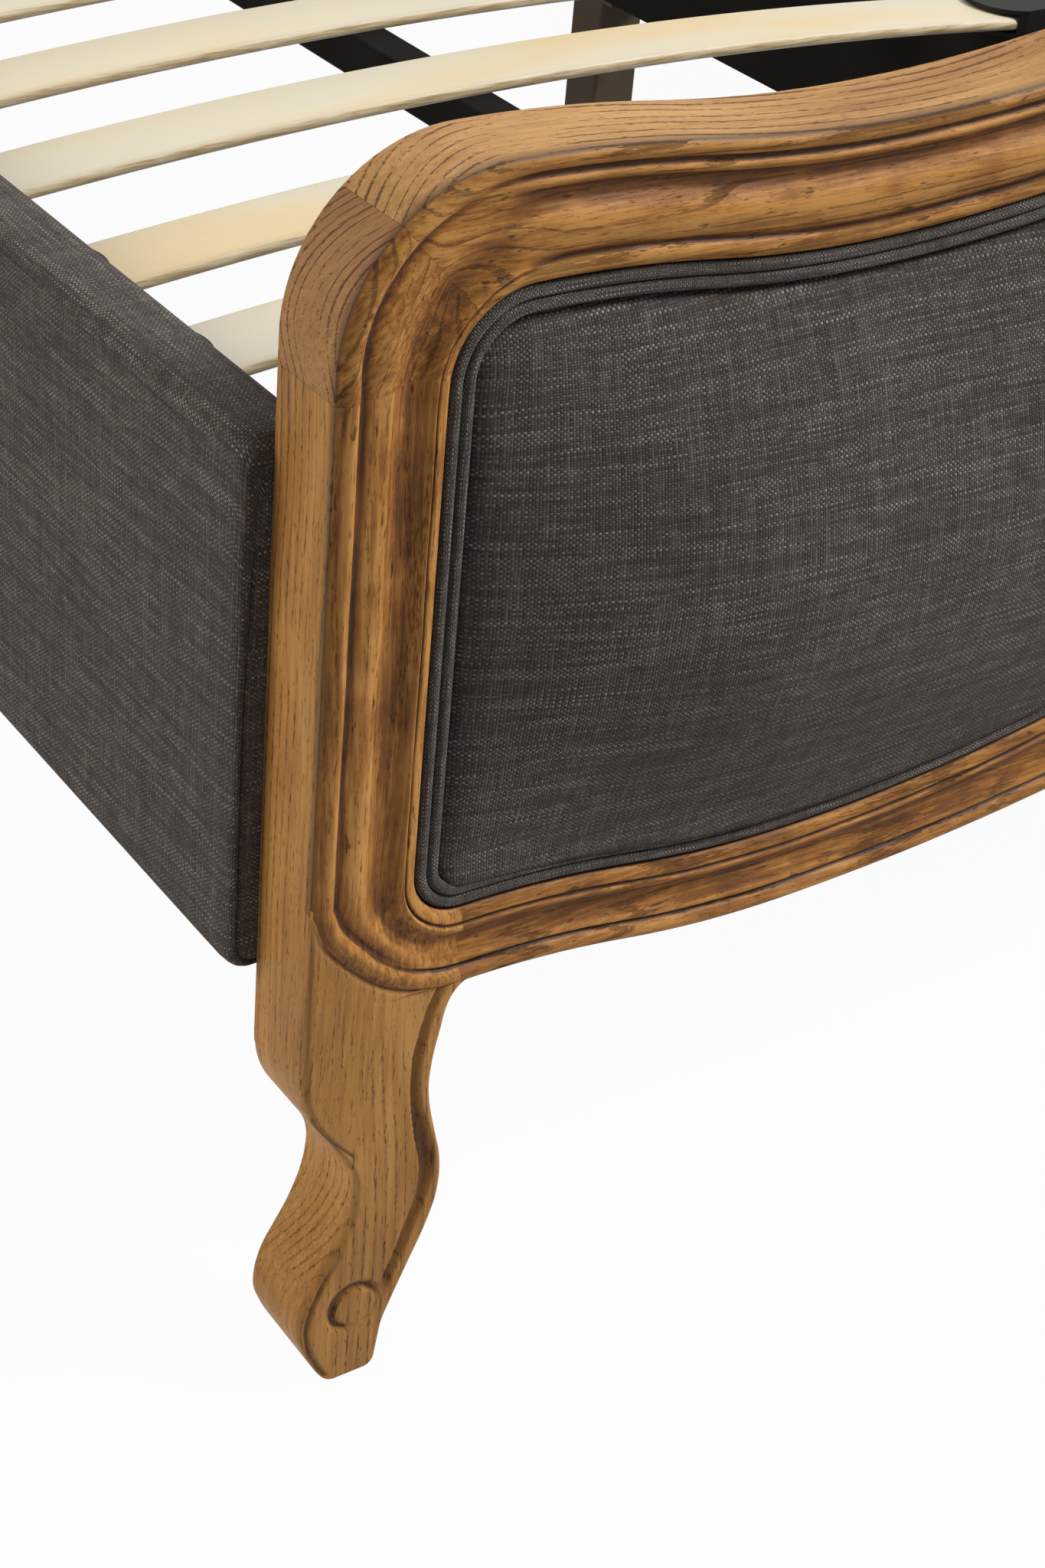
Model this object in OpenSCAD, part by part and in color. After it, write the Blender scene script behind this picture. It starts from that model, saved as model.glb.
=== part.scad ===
// Upholstered bed with a carved French frame at the foot and head.
// X runs across the bed, Y from the foot to the head, Z up.
// The origin is on the floor, under the middle of the bed.

/* [Overall] */
// Width over the outsides of the posts
bed_w = 1600; // [1500:10:1900]
// Clear length between the foot board and the head board
inner_l = 2010; // [1960:10:2160]
// Height of the underside of the side rails above the floor
rail_z = 245; // [215:5:280]

/* [End boards] */
// Thickness of the foot and head frames
board_t = 50; // [46:1:60]
// Width of the moulded frame around a panel
frame_w = 53; // [50:1:58]
// Outer radius of the top corners
corner_r = 80; // [72:1:95]
// Radius of the lower corners of a panel
low_corner_r = 30; // [24:1:36]
// Distance of the dips in the curved rails from the outside of the post
dip_x = 285; // [260:5:320]
// Height of the shoulders of the foot board
foot_z = 655; // [630:5:700]
// Drop from the shoulders to the dips of the foot board
foot_drop = 14; // [8:1:22]
// Rise from the dips to the middle of the foot board
foot_rise = 70; // [40:2:90]
// Height of the shoulders of the head board
head_z = 1170; // [1050:10:1250]
// Drop from the shoulders to the dips of the head board
head_drop = 20; // [10:1:30]
// Rise from the dips to the middle of the head board
head_rise = 140; // [90:5:170]
// Height of the panel's lower edge above the underside of the side rails
sill_h = 41; // [36:1:50]
// Drop of the panel's lower edge to its dips
sill_drop = 16; // [8:1:20]
// Rise of the panel's lower edge from its dips to the middle
sill_rise = 70; // [50:2:80]
// Drop of the lower rail's underside below the side rails, at the posts
apron_h = 3; // [0:1:6]
// Drop of the lower rail's underside to its dips
apron_drop = 18; // [10:1:22]
// Rise of the lower rail's underside from its dips to the middle
apron_rise = 47; // [30:1:56]
// Angle of the joint between corner block and top rail, from the horizontal
block_angle = 49; // [40:1:60]
// Length of the straight foot of the corner block, below the round corner
block_foot = 13; // [8:1:30]

/* [Moulding] */
// Width of the round bead along the outside of the frame
bead_w = 10; // [8:0.5:12]
// Width of the inner fillet and ridge beside the panel
fillet_w = 16; // [14:0.5:18]
// Depth of the cove below the front of the bead
cove_d = 10; // [6:0.5:12]

/* [Legs] */
// Depth of the front face of the leg behind the bead
leg_step = 3; // [2:0.5:5]
// Diameter of the scroll's button on the foot of the leg
scroll_d = 24; // [18:1:26]
// Height of the scroll's button above the floor
scroll_z = 48; // [44:1:54]
// Width of a head leg at the floor
head_leg_w = 36; // [30:1:46]
// Height above the rails' underside where the leg's carved arch meets the outside of the post
arch_h = 60; // [50:1:66]
// Radius of the leg's carved arch
arch_r = 112; // [100:2:130]
// Thickness of the glides under the legs
glide_t = 3; // [2:0.5:5]

/* [Panels] */
// Depth of the rebate that holds a panel, across the frame
rebate_w = 10; // [8:0.5:12]
// Thickness of the panel boards
panel_t = 12; // [9:0.5:15]
// Thickness of the covered back panels
back_t = 6; // [4:0.5:8]
// Height of the pad's crown above its edge
crown_h = 12; // [6:0.5:14]
// Diameter of the piping cords
cord_d = 6.2; // [5:0.1:7]

/* [Side rails] */
// Height of the padded side rails
rail_h = 285; // [265:5:300]
// Thickness of the padded side rails
rail_t = 40; // [36:1:46]
// How far the side rails stand out from the posts
rail_proud = 16; // [10:1:18]
// Thickness of the padding around the timber core
cover_t = 7; // [5:0.5:9]
// Radius of the padded edges
cover_r = 12; // [9:0.5:14]
// Thickness of the padding over the ends of a rail
cover_end = 4; // [3:0.5:6]

/* [Slats] */
// Width of a slat
slat_w = 53; // [48:1:63]
// Thickness of a slat
slat_t = 8; // [7:0.5:10]
// Distance from one row of slats to the next
slat_pitch = 119; // [112:1:120]
// Distance of the first slat from the foot board
slat_start = 20; // [14:1:40]
// How far the third row of slats stands nearer to the foot board than an even pitch
slat_shift = 10; // [0:1:12]
// Rise of the middle of a slat above its ends
slat_bow = 20; // [10:1:24]
// Distance of the slats' ends below the top of the side rails
slat_drop = 46; // [34:1:52]
// Length of slat held in a cap
slat_grip = 26; // [22:1:30]

/* [Supports] */
// Width of the centre beam
beam_w = 44; // [40:1:50]
// Height of the centre beam
beam_h = 115; // [100:1:130]
// Wall of the steel tubes
tube_wall = 2; // [1.5:0.25:3]
// Width and height of the mid bars
bar_w = 28; // [25:1:30]
// Distance of the mid bars below the slats' ends
bar_drop = 11; // [8:1:24]
// Width of the centre leg, across the bed
leg_tube_x = 40; // [35:1:42]
// Width of the centre leg, along the bed
leg_tube_y = 40; // [30:1:50]
// Distance of the centre leg from the foot board
leg_y = 850; // [780:2:1040]
// Thickness of the steel plates and angles
plate_t = 3; // [2.5:0.5:4]
// Width of the ledger angles
ledger_w = 30; // [26:1:34]
// Diameter of the levelling foot
foot_d = 34; // [30:1:40]
// Thread diameter of the levelling foot
screw_d = 10; // [8:1:12]
// Free length of the levelling foot's screw at rest
screw_out = 12; // [10:1:16]

/* [Fasteners] */
// Diameter of the frame dowels
dowel_d = 8; // [6:1:8]
// Length of the frame dowels
dowel_l = 60; // [44:2:64]
// Diameter of the bracket bolts
bolt_d = 8; // [6:1:8]
// Clearance around bolts and dowels
fit_gap = 0.1; // [0.05:0.05:0.2]
// Clearance between soft parts and their neighbours
soft_gap = 0.3; // [0.2:0.1:0.6]

/* [Hidden] */
$fn = 64;
fine = 720;
cord_sides = 6;

half_w = bed_w / 2;
half_l = inner_l / 2;
foot_back = -half_l;
head_back = half_l + board_t;
cove_t = board_t - cove_d;
leg_front = board_t - leg_step;
rebate_t = panel_t + back_t;
rail_in = rail_t - rail_proud;
rail_top = rail_z + rail_h;
slat_top = rail_top - slat_drop;
slat_rows = floor((inner_l - slat_start - slat_w) / slat_pitch) + 1;
slat_low = slat_top - slat_t;
cap_wall = 3;
cap_low = slat_low - cap_wall;
cap_w = slat_w + 2 * cap_wall;
cap_slack = 1;
cap_top = slat_top + slat_bow / 5 + cap_wall;
beam_low = cap_low - beam_h;
bar_low = slat_low - bar_drop - bar_w;
cross_w = 30;
dowel_t = cove_t / 2 + 2;
cross_gap = 2;
cross_low = bar_low - cross_w;
slat_x0 = rail_in + 6;
slat_x1 = half_w - 12;
slat_len = slat_x1 - slat_x0;
slat_r = slat_len * slat_len / (8 * slat_bow) + slat_bow / 2;
peg_d = 7;
bar_x = (rail_in + half_w - beam_w / 2) / 2;
hanger_l = 40;
beam_end = cross_gap + cross_w + plate_t;
bracket_h = 140;
bracket_l = 50;
bracket_x = 19;
bolt_head = 13;
bolt_l = 30;
leg_flange = 14;
tube_r = 3;
plug_flange = 3;
plug_l = 14;
foot_disc = 8;
foot_toe = 32.5;
foot_toe_w = 13;
tube_low = foot_disc + screw_out + plug_flange;
cord_n = -cord_d / 2 - soft_gap;
cord_step = cord_d + 0.1;
cord_z = cove_t + 1;
pad_edge = cord_z - cord_d / 2 - soft_gap;
pad_in = soft_gap + 2 * cord_step + soft_gap;
pad_gap = 1;
joint_x = frame_w + low_corner_r;

wood = "#9c6b3f";
cloth = "#4f4946";
ply = "#d9cfb4";
black = "#171310";
steel = "#5b5042";
zinc = "#a9a9a4";
plastic = "#3a3a3c";

// A wave is a level curve of four arcs: [start, height there, drop to the dip, rise to the middle]
foot_wave = [corner_r, foot_z, foot_drop, foot_rise];
head_wave = [corner_r, head_z, head_drop, head_rise];
sill_wave = [joint_x, rail_z + sill_h, sill_drop, sill_rise];
apron_wave = [joint_x, rail_z - apron_h, apron_drop, apron_rise];

// Radius of the two equal arcs that join two level points, l apart and h apart in height
function s_radius(l, h) = (l * l + h * h) / (4 * h);

// Arcs of a wave from its start to the middle: [centre x, centre z, radius, from, to, side, steps].
// out is 1 where the outside of the frame is above the wave, -1 where it is below.
// side is 1 where the outside of the frame is outside the arc, -1 where it is inside.
function wave_arcs(w, out) =
    let (l1 = dip_x - w[0], r1 = s_radius(l1, w[2]), a1 = asin(l1 / 2 / r1),
         l2 = half_w - dip_x, r2 = s_radius(l2, w[3]), a2 = asin(l2 / 2 / r2), dip = w[1] - w[2])
    [[w[0], w[1] - r1, r1, 90, 90 - a1, out, 3],
     [dip_x, dip + r1, r1, 270 - a1, 270, -out, 3],
     [dip_x, dip + r2, r2, 270, 270 + a2, -out, 6],
     [half_w, dip + w[3] - r2, r2, 90 + a2, 90, out, 6]];

// Height of a wave at x, moved outward by n
function arc_z(a, x, n) =
    let (r = a[2] + a[5] * n, h = sqrt(max(0, r * r - (x - a[0]) * (x - a[0]))))
    a[3] > 180 ? a[1] - h : a[1] + h;
function wave_z(w, out, x, n = 0) =
    let (a = wave_arcs(w, out), m1 = (w[0] + dip_x) / 2, m2 = (dip_x + half_w) / 2)
    arc_z(x < m1 ? a[0] : x < dip_x ? a[1] : x < m2 ? a[2] : a[3], x, n);

// Stations along arcs: [x, z, outward x, outward z]
function stations(arcs, n = 0) =
    [for (k = [0 : len(arcs) - 1], i = [k == 0 ? 0 : 1 : arcs[k][6]])
        let (a = arcs[k], t = a[3] + (a[4] - a[3]) * i / a[6], r = a[2] + a[5] * n)
        [a[0] + r * cos(t), a[1] + r * sin(t), a[5] * cos(t), a[5] * sin(t)]];
function reversed(path) = [for (i = [len(path) - 1 : -1 : 0]) path[i]];
function mirrored(path) = [for (p = reversed(path)) [bed_w - p[0], p[1], -p[2], p[3]]];
function rest(path) = [for (i = [1 : len(path) - 1]) path[i]];
function ring(p, section) = [for (q = section) [p[0] + q[0] * p[2], p[1] + q[0] * p[3], q[1]]];

function arc_points(c, r, from, to, steps) =
    [for (i = [0 : steps]) let (a = from + (to - from) * i / steps) [c[0] + r * cos(a), c[1] + r * sin(a)]];

// Smooth curve through hand-picked points
function curve_at(a, b, c, d, t) =
    ((-a + 3 * b - 3 * c + d) * t * t * t + (2 * a - 5 * b + 4 * c - d) * t * t + (c - a) * t + 2 * b) / 2;
function smooth(p, steps) =
    [for (i = [0 : len(p) - 2], k = [0 : steps - 1])
        curve_at(p[max(0, i - 1)], p[i], p[i + 1], p[min(len(p) - 1, i + 2)], k / steps)];

// Legs: distance from the outside of the post, and height as a share of rail_z
foot_leg_out = [
    [0, 0.86], [0, 0.80], [4, 0.745], [14, 0.68], [26, 0.605], [33.5, 0.535], [33.5, 0.475],
    [28, 0.395], [18, 0.32], [9, 0.255], [4.5, 0.205], [4.5, 0.155], [9, 0.09], [17, 0.03], [25, 0]];
foot_leg_in = [
    [40, 0], [46.5, 0.02], [48.5, 0.07], [50, 0.14], [56, 0.20], [66, 0.30], [75, 0.39], [79.5, 0.47],
    [79, 0.54], [74.5, 0.63], [70.5, 0.70], [69, 0.76], [70.5, 0.83], [74, 0.905], [79, 0.955], [joint_x, 0.976]];
head_leg_out = [[0, 0.86], [0, 0.7], [3, 0.35], [8, 0]];
head_leg_in = [[8 + head_leg_w, 0], [56, 0.4], [60, 0.7], [64, 0.86], [72, 0.95], [joint_x, 0.976]];
function leg_side(p) = [for (q = smooth(p, 3)) [max(0, q[0]), q[1] * rail_z]];

// Section of the frame: distance from the panel's opening, and height above the back
rebate_edge = [[rebate_w, rebate_t], [0, rebate_t]];
inner_edge = [
    [0, cove_t + 1], [1.5, cove_t + 4], [4.5, cove_t + 5], [7, cove_t + 4], [8.2, cove_t + 2.5],
    [9.6, cove_t + 5.2], [12, cove_t + 6], [fillet_w - 1, cove_t + 4.8]];
cove_edge = [
    [fillet_w + 5, cove_t + 1.5], [(fillet_w + frame_w - bead_w) / 2, cove_t], [frame_w - bead_w - 5, cove_t + 1]];
function bead_edge(e) = [
    [e - bead_w - 1, cove_t + 3], [e - bead_w, cove_t + 2], [e - bead_w * 0.86, board_t - 6],
    [e - bead_w * 0.72, board_t - 2], [e - bead_w * 0.45, board_t], [e - bead_w * 0.2, board_t - 0.8],
    [e, board_t - 3.5]];
frame_section = concat(rebate_edge, inner_edge, cove_edge, bead_edge(frame_w), [[frame_w, 0], [rebate_w, 0]]);
inner_section = concat(rebate_edge, inner_edge, [[fillet_w + 5, cove_t], [fillet_w + 5, 0], [rebate_w, 0]]);
bead_section = concat([[-bead_w - 4, 0], [-bead_w - 4, cove_t]], bead_edge(0), [[0, 0]]);

// End boards are drawn lying down: x from the outside of the left post, y up, z from the back forward
low_corner = [joint_x, sill_wave[1] + low_corner_r, low_corner_r, 270, 180, 1, 6];
block_low = corner_r + block_foot;
function top_corner(w) = [corner_r, w[1] - corner_r, corner_r - frame_w];
function block_arc(w) = concat(top_corner(w), [180, 180 - block_angle, 1, 5]);
function rail_arc(w) = concat(top_corner(w), [180 - block_angle, 90, 1, 4]);

// Edge of a panel's opening: the left half from the bottom middle up to the top middle, and all round
function sill_path() = reversed(stations(wave_arcs(sill_wave, -1)));
function top_path(w) = concat(stations([rail_arc(w)]), rest(stations(wave_arcs(w, 1), -frame_w)));
function half_loop(w) =
    concat(sill_path(), rest(stations([low_corner])), stations([block_arc(w)]), rest(top_path(w)));
function whole_loop(w) =
    let (h = half_loop(w), n = len(h)) concat(h, [for (i = [1 : n - 2]) mirrored(h)[i]]);

// Solid through a row of rings; closed joins the last ring to the first
module loft(rings, closed = false) {
    m = len(rings);
    n = len(rings[0]);
    sides = [for (i = [0 : m - (closed ? 1 : 2)], j = [0 : n - 1])
        let (a = i * n, b = ((i + 1) % m) * n, k = (j + 1) % n) each
            [[a + j, b + k, b + j], [a + j, a + k, b + k]]];
    ends = closed ? [] : [[for (j = [n : -1 : 1]) j % n], [for (j = [0 : n - 1]) (m - 1) * n + j]];
    polyhedron([for (r = rings) each r], concat(sides, ends));
}

module sweep(path, section) {
    loft([for (p = path) ring(p, section)]);
}

module stile_sweep(x, low, high) {
    translate([x, high, 0])
        rotate([90, 0, 0])
            linear_extrude(high - low)
                mirror([1, 0])
                    children();
}

module slab(points, low, high) {
    translate([0, 0, low]) linear_extrude(high - low) polygon(points);
}

module stand(back) {
    translate([0, back, 0]) rotate([90, 0, 0]) children();
}

module left_half() {
    translate([-half_w, 0, 0]) children();
}

module flip() {
    mirror([1, 0, 0]) children();
}

module both() {
    children();
    flip() children();
}

// Outline of a panel's opening moved outward by n
module opening(w, n) {
    polygon([for (p = whole_loop(w)) [p[0] + n * p[2] - half_w, p[1] + n * p[3]]]);
}

module rebate(w) {
    translate([0, 0, -1]) linear_extrude(rebate_t + 1) opening(w, rebate_w);
}

module dowel(p, t, angle, length, gap) {
    translate([p[0], p[1], t])
        rotate([0, 0, angle])
            rotate([0, 90, 0])
                cylinder(d = dowel_d + 2 * gap, h = length + 2 * gap, center = true);
}

// Dowels of the left half: post to block, block to top rail, post to lower rail
module frame_dowels(w, gap) {
    tc = top_corner(w);
    a = 180 - block_angle;
    for (n = [0.17, 0.434]) {
        dowel([frame_w * n, w[1] - block_low], dowel_t, 90, 2 * block_foot + 12, gap);
        dowel([tc[0] + (corner_r - frame_w * n) * cos(a), tc[1] + (corner_r - frame_w * n) * sin(a)],
            dowel_t, a + 90, dowel_l / 3, gap);
    }
    for (t = [dowel_t - 8, dowel_t + 6])
        dowel([joint_x, apron_wave[1] + 10], t, 0, dowel_l, gap);
}

// Arch of the leg, through its two ends
arch_a = [0, rail_z + arch_h];
arch_b = [joint_x, rail_z - 10];
arch_l = norm(arch_b - arch_a);
arch_n = [arch_a[1] - arch_b[1], arch_b[0] - arch_a[0]] / arch_l;
arch_c = (arch_a + arch_b) / 2 + arch_n * sqrt(arch_r * arch_r - arch_l * arch_l / 4);
arch = [arch_c[0], arch_c[1], arch_r,
    180 + atan((arch_c[1] - arch_a[1]) / (arch_c[0] - arch_a[0])) - 1,
    270 - atan((arch_c[0] - arch_b[0]) / (arch_c[1] - arch_b[1])) + 1, 1, 8];

// Everything above the leg's arch, in front of the cove
module arch_cut() {
    inside = arc_points(arch, arch_r - 7, arch[3], arch[4], 8);
    slab(concat([[-20, inside[0][1]]], inside,
        [[joint_x + 20, inside[8][1]], [joint_x + 20, low_corner[1] + 20], [-20, low_corner[1] + 20]]),
        cove_t, board_t + 1);
}

// side is 0 where the bed's inside is behind the frame, 1 where it is in front of it
module post(w, leg_out, leg_in, side) {
    outline = concat([[0, low_corner[1]]], leg_side(leg_out), [[leg_out[len(leg_out) - 1][0], 0]],
        leg_side(leg_in), [[joint_x, apron_wave[1]], [joint_x, sill_wave[1] - 2]],
        arc_points(low_corner, low_corner_r + 2, 265, 180, 6));
    left_half() difference() {
        union() {
            stile_sweep(frame_w, low_corner[1], w[1] - block_low) polygon(frame_section);
            difference() {
                slab(outline, 0, leg_front);
                arch_cut();
            }
            difference() {
                sweep(stations([arch]), reversed(bead_section));
                translate([joint_x, 0, -1]) cube([40, rail_z + sill_h, board_t + 2]);
                translate([-40, rail_z, -1]) cube([40, arch_h + 40, board_t + 2]);
            }
            sweep(stations([low_corner]), inner_section);
            stile_sweep(0, arch_a[1] - 2, low_corner[1]) polygon(bead_section);
            if (side == 0)
                translate([36, scroll_z, leg_front - 1]) cylinder(d = scroll_d, h = leg_step);
        }
        translate([half_w, 0, 0]) rebate(w);
        translate([-1, -1, -1]) cube([joint_x, glide_t + 1, board_t + 2]);
        frame_dowels(w, fit_gap);
        for (z = bolt_zs())
            translate([bolt_x, z, side * (board_t - bolt_l + plate_t) - 1])
                cylinder(d = bolt_d + 2 * fit_gap, h = bolt_l + 2);
    }
}

module corner_block(w) {
    left_half() difference() {
        sweep(concat([[frame_w, w[1] - block_low, -1, 0]], stations([block_arc(w)])), frame_section);
        frame_dowels(w, fit_gap);
    }
}

module top_rail(w) {
    difference() {
        left_half() sweep(concat(top_path(w), rest(mirrored(top_path(w)))), frame_section);
        both() left_half() frame_dowels(w, fit_gap);
    }
}

module bottom_rail() {
    sill = reversed(concat(reversed(sill_path()), rest(mirrored(reversed(sill_path())))));
    edge = stations(wave_arcs(apron_wave, -1));
    apron = reversed(concat(edge, rest(mirrored(edge))));
    difference() {
        left_half() loft([for (i = [0 : len(sill) - 1])
            concat(ring(sill[i], concat(rebate_edge, inner_edge, [[fillet_w + 5, cove_t]])),
                ring(apron[i], rest(bead_section)), ring(sill[i], [[rebate_w, 0]]))]);
        both() left_half() frame_dowels(foot_wave, fit_gap);
    }
}

module panel_board(w) {
    translate([0, 0, back_t]) linear_extrude(panel_t) opening(w, rebate_w - fit_gap);
}

module back_panel(w) {
    linear_extrude(back_t) opening(w, rebate_w - soft_gap);
}

// Closed cord around a panel, n outside its opening
module piping(w, n) {
    left_half() loft([for (p = whole_loop(w))
        ring(p, [for (a = [0 : cord_sides - 1])
            [n - cord_d / 2 * cos(a * 360 / cord_sides), cord_z + cord_d / 2 * sin(a * 360 / cord_sides)]])], true);
}

// Distance of a point inside a panel's opening from the edge of the opening
function edge_distance(w, p) =
    let (tc = top_corner(w), x = half_w - abs(p[0] - half_w))
    x < tc[0] && p[1] > tc[1] ? tc[2] - norm([x - tc[0], p[1] - tc[1]]) :
    x < joint_x && p[1] < low_corner[1] ? low_corner_r - norm([x - joint_x, p[1] - low_corner[1]]) :
    min(x - frame_w, wave_z(w, 1, max(x, tc[0]), -frame_w) - p[1],
        p[1] - wave_z(sill_wave, -1, max(x, joint_x)));

// Height of the opening's upper and lower edges at x, moved inward by n
function pad_high(w, x, n) =
    let (tc = top_corner(w), r = tc[2] - n)
    x < tc[0] ? tc[1] + sqrt(max(0, r * r - (x - tc[0]) * (x - tc[0]))) : wave_z(w, 1, x, -frame_w - n);
function pad_low(x, n) =
    let (r = low_corner_r - n)
    x < joint_x ? low_corner[1] - sqrt(max(0, r * r - (x - joint_x) * (x - joint_x)))
                : wave_z(sill_wave, -1, x, -n);
function pad_t(w, p) =
    let (d = max(0, edge_distance(w, p) - pad_in), s = min(1, d / 90))
    pad_edge + crown_h * (0.75 * (1 - (1 - s) * (1 - s)) + 0.25 * min(1, d / 180));

// Upholstered pad: a grid of points, crowned at the front and flat at the back
module pad(w, steps) {
    margins = [0, pad_in - pad_gap, pad_in + 9, pad_in + 27, pad_in + 60];
    span = half_w - frame_w - pad_gap;
    left = concat([for (m = margins) m], [for (i = [1 : 14]) pad_in + 60 + (span - pad_in - 60) * i / 14]);
    xs = concat([for (m = left) frame_w + pad_gap + m],
        [for (i = [len(left) - 2 : -1 : 0]) bed_w - frame_w - pad_gap - left[i]]);
    rows = 2 * len(margins) + steps;
    function level(x, j) =
        let (u = half_w - abs(x - half_w), low = pad_low(u, pad_gap), high = pad_high(w, u, pad_gap),
             m = len(margins), a = low + margins[m - 1], b = high - margins[m - 1])
        j < m ? low + margins[j] : j >= m + steps ? high - margins[rows - 1 - j]
              : a + (b - a) * (j - m + 1) / (steps + 1);
    function spot(i, j) = [xs[i], level(xs[i], j)];
    n = len(xs);
    front = [for (i = [0 : n - 1], j = [0 : rows - 1]) let (p = spot(i, j))
        [p[0] - half_w, p[1], pad_t(w, p)]];
    back = [for (p = front) [p[0], p[1], rebate_t]];
    total = len(front);
    function quad(a, b, c, d) = [[a, b, c], [a, c, d]];
    faces = concat(
        [for (i = [0 : n - 2], j = [0 : rows - 2]) let (a = i * rows + j)
            each quad(a, a + 1, a + rows + 1, a + rows)],
        [for (i = [0 : n - 2], j = [0 : rows - 2]) let (a = total + i * rows + j)
            each quad(a, a + rows, a + rows + 1, a + 1)],
        [for (i = [0 : n - 2]) let (a = i * rows) each quad(a, a + rows, total + a + rows, total + a)],
        [for (i = [0 : n - 2]) let (a = i * rows + rows - 1) each quad(a + rows, a, total + a, total + a + rows)],
        [for (j = [0 : rows - 2]) each quad(j + 1, j, total + j, total + j + 1)],
        [for (j = [0 : rows - 2]) let (a = (n - 1) * rows + j) each quad(a, a + 1, total + a + 1, total + a)]);
    polyhedron(concat(front, back), faces);
}

// Side rails
module rounded(x0, z0, x1, z1, r) {
    translate([x0 + r, z0]) square([x1 - x0 - 2 * r, z1 - z0]);
    translate([x0, z0 + r]) square([x1 - x0, z1 - z0 - 2 * r]);
    for (x = [x0 + r, x1 - r], z = [z0 + r, z1 - r])
        translate([x, z]) circle(r);
}

module along(from, to) {
    translate([0, to, 0]) rotate([90, 0, 0]) linear_extrude(to - from) children();
}

function bolt_zs() = [cross_low - bracket_h * 0.8, cross_low - bracket_h * 0.25];
bolt_x = rail_in + plate_t + bolt_head / 2 + 0.5;
bolt_y = bracket_l * 0.62;

// Bolts of the front left corner: two into the rail and two into the post
module corner_bolts(gap, heads) {
    for (z = bolt_zs()) {
        translate([rail_in + plate_t, bolt_y, z]) rotate([0, -90, 0])
            cylinder(d = bolt_d + 2 * gap, h = bolt_l - 8 + gap);
        translate([bolt_x, plate_t, z]) rotate([90, 0, 0])
            cylinder(d = bolt_d + 2 * gap, h = bolt_l + gap);
        if (heads) {
            translate([rail_in + plate_t, bolt_y, z]) rotate([0, 90, 0])
                cylinder(d = bolt_head, h = bolt_d * 0.55, $fn = 6);
            translate([bolt_x, plate_t, z]) rotate([-90, 0, 0])
                cylinder(d = bolt_head, h = bolt_d * 0.55, $fn = 6);
        }
    }
}

// The front left corner's origin is where the post's outside meets the foot board's back
module at_corners() {
    for (y = [0, 1]) mirror([0, y, 0]) both() translate([-half_w, -half_l, 0]) children();
}

module rail_core() {
    x0 = -rail_proud + cover_t;
    difference() {
        translate([x0 - half_w, -half_l + cover_end, rail_z + cover_t])
            cube([rail_t - 2 * cover_t, inner_l - 2 * cover_end, rail_h - 2 * cover_t]);
        at_corners() corner_bolts(fit_gap, false);
    }
}

module rail_cover() {
    difference() {
        translate([-half_w, 0, 0]) along(-half_l + soft_gap, half_l - soft_gap)
            rounded(-rail_proud, rail_z, rail_in, rail_top, cover_r);
        translate([-rail_proud + cover_t - half_w, -half_l + cover_end, rail_z + cover_t])
            cube([rail_t - 2 * cover_t, inner_l - 2 * cover_end, rail_h - 2 * cover_t]);
        at_corners() corner_bolts(fit_gap + 0.5, false);
    }
}

module ledger() {
    difference() {
        translate([rail_in - half_w, 0, 0]) along(-half_l + 2, half_l - 2) {
            translate([0, cap_low - plate_t]) square([ledger_w, plate_t]);
            translate([0, cap_low - ledger_w]) square([plate_t, ledger_w]);
        }
        slat_rows() translate([slat_x0 + slat_grip / 2 - half_w, 0, cap_low - 2 * plate_t])
            cylinder(d = peg_d + 2 * fit_gap, h = 3 * plate_t);
    }
}

module bracket() {
    difference() {
        union() {
            translate([rail_in, 0, cross_low - bracket_h]) cube([plate_t, bracket_l, bracket_h]);
            translate([rail_in, 0, cross_low - bracket_h]) cube([bracket_x, plate_t, bracket_h]);
        }
        corner_bolts(fit_gap, false);
    }
}

// Slats and supports
module slat_rows() {
    for (i = [0 : slat_rows - 1])
        translate([0, foot_back + slat_start + slat_w / 2 + i * slat_pitch - (i == 2 ? slat_shift : 0), 0])
            children();
}

module slat() {
    half = asin(slat_len / 2 / slat_r);
    edge = slat_t / 4;
    translate([(slat_x0 + slat_x1) / 2 - half_w, 0, slat_low + slat_bow - slat_r])
        rotate([90, 0, 0])
            rotate([0, 0, 90 - half])
                rotate_extrude(angle = 2 * half, $fn = fine)
                    translate([slat_r, 0])
                        polygon([[edge, -slat_w / 2], [slat_t - edge, -slat_w / 2], [slat_t, edge - slat_w / 2],
                            [slat_t, slat_w / 2 - edge], [slat_t - edge, slat_w / 2], [edge, slat_w / 2],
                            [0, slat_w / 2 - edge], [0, edge - slat_w / 2]]);
}

// Cap for the outer end of a slat: a tray with a round tongue over the slat, and a peg below.
// x runs from the slat's end along the slat, and peg is the place of the peg on it.
module cap(wall, peg) {
    reach = slat_grip + cap_wall;
    difference() {
        union() {
            intersection() {
                translate([-wall, -cap_w / 2, cap_low]) cube([wall + reach, cap_w, cap_top - cap_low]);
                translate([reach - cap_w / 2 - 2, 0, cap_low]) {
                    cylinder(d = cap_w + 4, h = cap_top - cap_low);
                    translate([-cap_w, -cap_w / 2, 0]) cube([cap_w, cap_w, cap_top - cap_low]);
                }
            }
            translate([peg, 0, cap_low - plate_t - 4]) cylinder(d = peg_d, h = plate_t + 5);
        }
        translate([-cap_slack, -slat_w / 2 - 2 * fit_gap, slat_low - fit_gap])
            cube([reach + 2, slat_w + 4 * fit_gap, cap_top - cap_wall - slat_low + fit_gap]);
    }
}

module tube_section(x, y, wall, r) {
    difference() {
        rounded(-x / 2, -y / 2, x / 2, y / 2, r);
        rounded(-x / 2 + wall, -y / 2 + wall, x / 2 - wall, y / 2 - wall, max(r - wall, 0.5));
    }
}

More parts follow.
